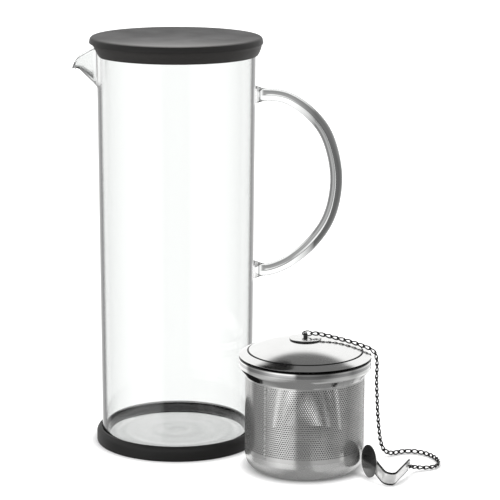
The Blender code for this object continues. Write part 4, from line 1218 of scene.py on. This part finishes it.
def route_point(run):
    """Point of the route at a length along it."""
    return route[round(run / route_length * (ROUTE_COUNT - 1))]


first_link = wire_ring(link_place, WIRE_ROUND, 22, 8)
links = []
upward = Vector((0, 0, 1))
for number in range(CHAIN_LINKS):
    start = route_point(number * pitch)
    end = route_point(number * pitch + 2 * half_link)
    along = (end - start).normalized()
    upward = (upward - upward.dot(along) * along).normalized()
    axes = Matrix((along, upward.cross(along), upward)).transposed().to_4x4()
    turn = Matrix.Rotation(LINK_TWIST / 2, 4, "X")
    link = add_object("link", first_link.data.copy())
    link.data.transform(Matrix.Translation(INFUSER + (start + end) / 2 * MM) @ axes @ turn)
    links.append(link)
bpy.data.objects.remove(first_link)
start_clean()
for link in links:
    link.select_set(True)
bpy.context.view_layer.objects.active = links[0]
bpy.ops.object.join()
link_nodes = [f"chain_link_{number:02d}" for number in range(1, CHAIN_LINKS + 1)]
chain = settle("twisted_chain", chain_steel, "chain", link_nodes, 60)

# %% [markdown]
# The hook is a strip bent to a narrow V that hangs over the jug's rim, with a plain round disc on its
# outer leg and a wire ring in a hole at its other end. The whole hook is modelled upright at the origin
# and then laid where it lies on the table, tilted on its disc.

# %% Hook's place on the table
HOOK_CENTRE = Vector((38.735, -21.7015, 9.8537))
HOOK_TURNS = (("Z", -67.54), ("Y", 14.22), ("X", -2.87))
hook_turn = Matrix.Identity(4)
for hook_axis, hook_degrees in HOOK_TURNS:
    hook_turn = hook_turn @ Matrix.Rotation(math.radians(hook_degrees), 4, hook_axis)
hook_middle = INFUSER + HOOK_CENTRE * MM
hook_place = Matrix.Translation(hook_middle) @ hook_turn


def lay_hook_piece():
    """Apply the active object's own place, then lay its mesh where the hook lies."""
    apply_place().data.transform(hook_place)


def hook_measure(paint, way):
    """How far a point lies from the hook's middle, along one of the hook's own directions."""
    offset = paint.vector("SUBTRACT", paint.coordinates(), hook_middle)
    return paint.vector("DOT_PRODUCT", offset, (hook_turn.to_3x3() @ Vector(way)).normalized())


print("hook at", hook_middle)

# %% [markdown]
# The strip's two long edges and its free end are painted black, a painted reflection of the dark that cut
# edges of polished steel turn toward. The disc's front is painted dark too, a painted reflection that is a
# little paler near the table, while its back stays pale. The marks are measured along the hook's own
# directions where it lies at rest.

# %% Painted dark edges of the strip and faces of the disc
HOOK_HALF = 4.15
HOOK_EDGE = 1.1
HOOK_END = 12.0
HOOK_END_WAY = (-0.6596, 0.7517, 0)
DISC_MIDDLE = 1.1
DISC_LEVEL = (8.2, 9.6)
DISC_LOW = (0.2, 0.2, 0.197)
DISC_HIGH = (0.05, 0.05, 0.05)
EDGE_SOFT = 0.12
END_SOFT = 0.15
DISC_SOFT = 0.1
edge_start = HOOK_HALF - HOOK_EDGE
# Painted reflection: the strip's long edges and its free end are painted black
hook_width = hook_steel.calc("ABSOLUTE", hook_measure(hook_steel, (0, 0, 1)))
hook_steel.recolor(hook_steel.rise(hook_width, edge_start, edge_start + EDGE_SOFT), (0.02, 0.02, 0.02))
hook_along = hook_measure(hook_steel, HOOK_END_WAY)
hook_steel.recolor(hook_steel.rise(hook_along, HOOK_END, HOOK_END + END_SOFT), (0.03, 0.03, 0.03))
# Painted reflection on the disc's front face, paler near the table
disc_up = disc_steel.parts(disc_steel.coordinates())["Z"]
disc_front = disc_steel.blend(disc_steel.rise(disc_up, *DISC_LEVEL), DISC_LOW, DISC_HIGH)
disc_depth = hook_measure(disc_steel, (0, -1, 0))
disc_side = disc_steel.rise(disc_depth, DISC_MIDDLE - DISC_SOFT, DISC_MIDDLE + DISC_SOFT)
disc_steel.recolor(disc_side, disc_front)
print("disc has", len(disc_steel.nodes), "nodes")

# %% [markdown]
# The strip starts as a small plane, the cross-section of its end. It is extruded along the first leg,
# turned step by step round the bend and extruded along the second leg. Then the four upright edges of
# its two ends are bevelled to round corners.

# %% Hook strip
STRIP_WIDTH = 8.3
STRIP_SHEET = 0.8
STRIP_TAIL = 4.2
LEG_ONE = 16.65
LEG_TWO = 20.5
BEND_RADIUS = 4.3
BEND_STEPS = 14
BEND_TURN = math.radians(180 - 48.74)
END_CORNER = 2.6
leg_two_way = Vector((math.cos(BEND_TURN), math.sin(BEND_TURN), 0))

start_clean()
bpy.ops.mesh.primitive_plane_add(size=MM, location=(-STRIP_TAIL * MM, 0, 0), rotation=(0, math.pi / 2, 0))
active().scale = (STRIP_WIDTH, STRIP_SHEET, 1)
apply_place()
bpy.ops.object.mode_set(mode="EDIT")
bpy.ops.mesh.select_all(action="SELECT")
extrude(((STRIP_TAIL + LEG_ONE) * MM, 0, 0))
bend_pivot = (LEG_ONE * MM, BEND_RADIUS * MM, 0)
for _ in range(BEND_STEPS):
    extrude((0, 0, 0))
    bpy.ops.transform.rotate(value=-BEND_TURN / BEND_STEPS, orient_axis="Z", center_override=bend_pivot)
extrude(leg_two_way * LEG_TWO * MM)
close_up(1e-7)
bpy.ops.mesh.select_mode(type="EDGE")
bpy.ops.mesh.select_all(action="DESELECT")
strip_shape = bmesh.from_edit_mesh(active().data)
end_area = STRIP_SHEET * STRIP_WIDTH * MM * MM
for edge in strip_shape.edges:
    middle = (edge.verts[0].co + edge.verts[1].co) / 2
    at_side = abs(abs(middle.z) - STRIP_WIDTH / 2 * MM) < 1e-6
    short = edge.calc_length() < 1.1 * STRIP_SHEET * MM
    at_end = any(abs(face.calc_area() - end_area) < 1e-8 for face in edge.link_faces)
    edge.select = at_side and short and at_end
bmesh.update_edit_mesh(active().data)
bpy.ops.mesh.bevel(offset=END_CORNER * MM, segments=6)
bpy.ops.object.mode_set(mode="OBJECT")
hook_strip = active()
print("strip", len(hook_strip.data.polygons), "faces")

# %% Hole near the strip's end
HOLE_CENTRE = Vector((7.814, 20.8923, 0))
HOLE_SIZE = 1.2
PIN_LENGTH = 3.0
start_clean()
hole_turn = (0, math.pi / 2, math.atan2(leg_two_way.x, -leg_two_way.y))
bpy.ops.mesh.primitive_cylinder_add(
    vertices=32, radius=HOLE_SIZE * MM, depth=PIN_LENGTH * MM, location=HOLE_CENTRE * MM, rotation=hole_turn
)
hole_pin = active()
modify(hook_strip, "BOOLEAN", operation="DIFFERENCE", solver="EXACT", object=hole_pin)
bpy.data.objects.remove(hole_pin)
strip_edge = {"limit_method": "ANGLE", "angle_limit": math.radians(40)}
modify(hook_strip, "BEVEL", width=FINE_EDGE * MM, segments=2, **strip_edge)
lay_hook_piece()
hook_strip = settle("hook_bent_strip", hook_steel, "hook", ("hook_strip",))

# %% [markdown]
# The disc is a thin cylinder with a softly bevelled edge, just clear of the strip's outer leg. The ring
# is round wire that passes through the hole and leans down toward the chain.

# %% Hook disc
DISC_RADIUS = 9.7
DISC_SHEET = 0.8
DISC_GAP = 0.3
DISC_ROUND = 0.25
start_clean()
bpy.ops.mesh.primitive_cylinder_add(
    vertices=96,
    radius=DISC_RADIUS * MM,
    depth=DISC_SHEET * MM,
    location=(0, -(STRIP_SHEET / 2 + DISC_GAP + DISC_SHEET / 2) * MM, 0),
    rotation=(math.pi / 2, 0, 0),
)
modify(active(), "BEVEL", width=DISC_ROUND * MM, segments=3, limit_method="ANGLE")
lay_hook_piece()
hook_disc = settle("hook_round_disc", disc_steel, "hook", ("hook_disc",))

# %% Hook ring
HOOK_RING_RADIUS = 2.4
HOOK_RING_WIRE = 0.7
HOOK_RING_TILT = math.radians(-36)
ring_out = leg_two_way * math.cos(HOOK_RING_TILT) + Vector((0, 0, math.sin(HOOK_RING_TILT)))
ring_side = Vector((-leg_two_way.y, leg_two_way.x, 0))


def ring_place(angle):
    """Point of the hook's ring, which hangs in the hole."""
    offset = HOOK_RING_RADIUS * (math.cos(angle) * ring_out + math.sin(angle) * ring_side)
    return hook_place @ ((HOLE_CENTRE + HOOK_RING_RADIUS * ring_out + offset) * MM)


wire_ring(ring_place, HOOK_RING_WIRE, 32)
hook_ring = settle("hook_wire_ring", chain_steel, "hook", ("hook_ring",), 60)

# %% [markdown]
# The chain is soft goods, a limp cord along its route with the hook at its far end. Its length is the length
# of the route, which the photograph shows from end to end.

# %% Length of the chain
print("cord of", round(route_length, 1), "mm")

# %% [markdown]
# The studio is a white sweep. The camera sees the floor and the world as plain white, with only the
# object's soft shadow on it, and so does light that comes through the glass. The floor glows a little
# by itself, less in the narrow gaps under the parts, which keeps their contact shadows. Reflections
# don't see it: they see the world's own table further down.


# %% Helpers for the studio
def bare_paint(holder):
    """Node tree with nothing in it."""
    made = Paint(holder)
    made.nodes.clear()
    return made


def glow(paint, strength):
    """Shader that shines white at a strength."""
    made = paint.node("ShaderNodeEmission")
    paint.feed(strength, made.inputs["Strength"])
    return made.outputs["Emission"]


def by_ray(paint, kind, other, seen):
    """One shader for one kind of ray and another for the rest."""
    made = paint.node("ShaderNodeMixShader")
    paint.feed(paint.node("ShaderNodeLightPath").outputs[kind], made.inputs["Fac"])
    paint.feed(other, made.inputs[1])
    paint.feed(seen, made.inputs[2])
    return made.outputs["Shader"]


# %% Floor
FLOOR_HALF = 3.0
FLOOR_PAINT = (0.8, 0.8, 0.8, 1)
GLOW_REACH = (0.12, 0.8)
GLOW_LEVEL = (0.75, 1.0)
THROUGH_GLASS = 1.18
CONTACT_REACH = 0.0075
CONTACT_POWER = 2.0
floor_paint = bare_paint(bpy.data.materials.new("white_sweep"))
floor_matt = floor_paint.node("ShaderNodeBsdfDiffuse", Color=FLOOR_PAINT).outputs["BSDF"]
floor_far = floor_paint.vector("LENGTH", floor_paint.coordinates())
floor_rise = floor_paint.spread(floor_far, *GLOW_LEVEL, *GLOW_REACH)
floor_rise.node.interpolation_type = "SMOOTHSTEP"
floor_contact = floor_paint.node("ShaderNodeAmbientOcclusion", Distance=CONTACT_REACH).outputs["AO"]
floor_open = floor_paint.calc("POWER", floor_contact, CONTACT_POWER)
floor_glow = glow(floor_paint, floor_paint.calc("MULTIPLY", floor_rise, floor_open))
floor_seen = floor_paint.node("ShaderNodeAddShader")
floor_paint.feed(floor_matt, floor_seen.inputs[0])
floor_paint.feed(floor_glow, floor_seen.inputs[1])
floor_out = by_ray(floor_paint, "Is Transmission Ray", floor_matt, glow(floor_paint, THROUGH_GLASS))
floor_out = by_ray(floor_paint, "Is Camera Ray", floor_out, floor_seen.outputs["Shader"])
floor_paint.feed(floor_out, floor_paint.node("ShaderNodeOutputMaterial").inputs["Surface"])
start_clean()
bpy.ops.mesh.primitive_plane_add(size=2 * FLOOR_HALF, location=(0, 0, 0))
floor = active()
floor.name = "floor"
floor.data.materials.append(floor_paint.holder)
floor.visible_glossy = False
print("floor", 2 * FLOOR_HALF, "m wide")

# %% [markdown]
# A photographer keeps a thin bright strip from going grey with a white card, and a dark card under
# clear glass gives it its dark lines. Both are flat shapes that only reflections see. The white one
# lies low before the hook, and the dark one lies under the jug.


# %% Two cards
def show_to_reflections(name, strength):
    """Make the active object a card that only reflections see."""
    card = apply_place()
    card.name = name
    paint = bare_paint(bpy.data.materials.new(name))
    paint.feed(glow(paint, strength), paint.node("ShaderNodeOutputMaterial").inputs["Surface"])
    card.data.materials.append(paint.holder)
    card.visible_camera = False
    card.visible_diffuse = False
    card.visible_transmission = False
    card.visible_shadow = False
    print(name, "at strength", strength)


CARD_PLACE = Vector((60.0, -104.0, -15.0))
CARD_SIZE = (80.0 * MM, 92.0 * MM, 1)
CARD_BRIGHT = 0.45
start_clean()
bpy.ops.mesh.primitive_plane_add(size=1, location=INFUSER + CARD_PLACE * MM)
active().scale = CARD_SIZE
show_to_reflections("white_card", CARD_BRIGHT)

DARK_CARD_RADIUS = 43.0
DARK_CARD_PLACE = Vector((0, 0, 2.0))
DARK_CARD_BRIGHT = 0.01
start_clean()
bpy.ops.mesh.primitive_circle_add(
    vertices=64, radius=DARK_CARD_RADIUS * MM, fill_type="NGON", location=JUG + DARK_CARD_PLACE * MM
)
show_to_reflections("dark_card", DARK_CARD_BRIGHT)

# %% [markdown]
# Polished steel shows what stands round it, so reflected rays see a studio: bright panels to the left
# front and the right front, darkness round the camera and behind, a bright ceiling ring with a dark
# top, and a table that is dark in front and bright at the back. All of it is a matter of direction, so
# it is painted on the world.

# %% What reflections see
# Share of a turn from -X through -Y, +X and +Y, with the brightness that polished steel sees there
STUDIO_PEAK = 1.15
STUDIO_TURN = (
    (0.0, 0.3), (0.03, 0.45), (0.056, 0.72), (0.08, 0.95), (0.1, 1.15), (0.18, 1.15), (0.193, 0.95),
    (0.205, 0.16), (0.26, 0.2), (0.36, 0.1), (0.42, 0.3), (0.46, 0.4), (0.5, 0.24), (0.57, 0.52),
    (0.62, 0.75), (0.68, 1.1), (0.895, 1.1), (0.925, 0.22), (0.96, 0.25), (1.0, 0.3),
)
HORIZON = (-0.02, 0.06)
CEILING_LEVELS = (1.05, 0.17)
CEILING_ANGLES = (42, 48)
TABLE_ANGLES = (-19, -24)
TABLE_FRONT = 0.22
TABLE_BACK = 1.05
TABLE_SIDE = 0.55
BACK_RIGHT = (0.95, 1.25)
SIDEWAYS = (0.4, 0.85)


def rise_of(degrees):
    """Upward part of the directions at two angles above the horizon."""
    return [math.sin(math.radians(angle)) for angle in degrees]


world = bpy.data.worlds.new("studio")
bpy.context.scene.world = world
sky = bare_paint(world)
sky_way = sky.coordinates("Generated")
way_x, way_y, way_up = sky.parts(sky_way)
sky_turn = sky.spread(sky.calc("ARCTAN2", way_y, way_x), 0.0, 1.0, -math.pi, math.pi)
sky_walls = sky.ramp(sky_turn, [(place, (bright / STUDIO_PEAK,) * 3) for place, bright in STUDIO_TURN])
sky_walls = sky.vector("MULTIPLY", sky_walls, Vector((STUDIO_PEAK,) * 3))
sky_ceiling = sky.spread(way_up, *CEILING_LEVELS, *rise_of(CEILING_ANGLES))
sky_seen = sky.blend(sky.spread(way_up, 0.0, 1.0, *HORIZON), sky_walls, sky_ceiling)
back_right = sky.vector("DOT_PRODUCT", sky_way, Vector((1, 1, 0)))
table_back = sky.spread(back_right, TABLE_FRONT, TABLE_BACK, *BACK_RIGHT)
table_side = sky.spread(sky.calc("ABSOLUTE", way_x), TABLE_FRONT, TABLE_SIDE, *SIDEWAYS)
table_seen = sky.calc("MAXIMUM", table_back, table_side)
sky_seen = sky.blend(sky.spread(way_up, 0.0, 1.0, *rise_of(TABLE_ANGLES)), sky_seen, table_seen)
print("sky has", len(sky.nodes), "nodes")

# %% [markdown]
# The world then shows each kind of ray its own light: plain white to the camera, the same white as the
# floor to what passes through glass, the painted studio to reflections, and a dim even light to
# everything else.

# %% World
WORLD_LIGHT = 0.42


def background(strength, color=(1, 1, 1)):
    """World shader of one brightness, white or of a colour."""
    made = sky.node("ShaderNodeBackground", Strength=strength)
    sky.feed(color, made.inputs["Color"])
    return made.outputs["Background"]


sky_out = by_ray(sky, "Is Glossy Ray", background(WORLD_LIGHT), background(1.0, sky_seen))
sky_out = by_ray(sky, "Is Transmission Ray", sky_out, background(THROUGH_GLASS))
sky_out = by_ray(sky, "Is Camera Ray", sky_out, background(1.0))
sky.feed(sky_out, sky.node("ShaderNodeOutputWorld").inputs["Surface"])
print("world", world.name)

# %% [markdown]
# Three large soft lamps give the table its faint shadow: a key from the left front, a weaker fill from
# the right, and one from above. Steel and glass don't show them, because they see the painted studio
# instead.

# %% Soft lamps
LAMPS = (
    ("key_panel", (-0.9, -0.9, 1.3), 1.1, 9.0),
    ("fill_panel", (1.1, -0.4, 1.2), 1.0, 5.0),
    ("top_panel", (0.0, 0.5, 1.7), 1.4, 12.0),
)
LAMP_TARGET = Vector((0, 0, 0.1))
for name, place, size, power in LAMPS:
    lamp_data = bpy.data.lights.new(name, "AREA")
    lamp_data.size = size
    lamp_data.energy = power
    lamp = add_object(name, lamp_data)
    lamp.location = place
    lamp.rotation_euler = (LAMP_TARGET - Vector(place)).to_track_quat("-Z", "Y").to_euler()
    lamp.visible_glossy = False
    lamp.visible_transmission = False
print(len(LAMPS), "lamps")

# %% [markdown]
# The picture uses the plain Standard view.

# %% Finish
bpy.context.scene.view_settings.view_transform = "Standard"
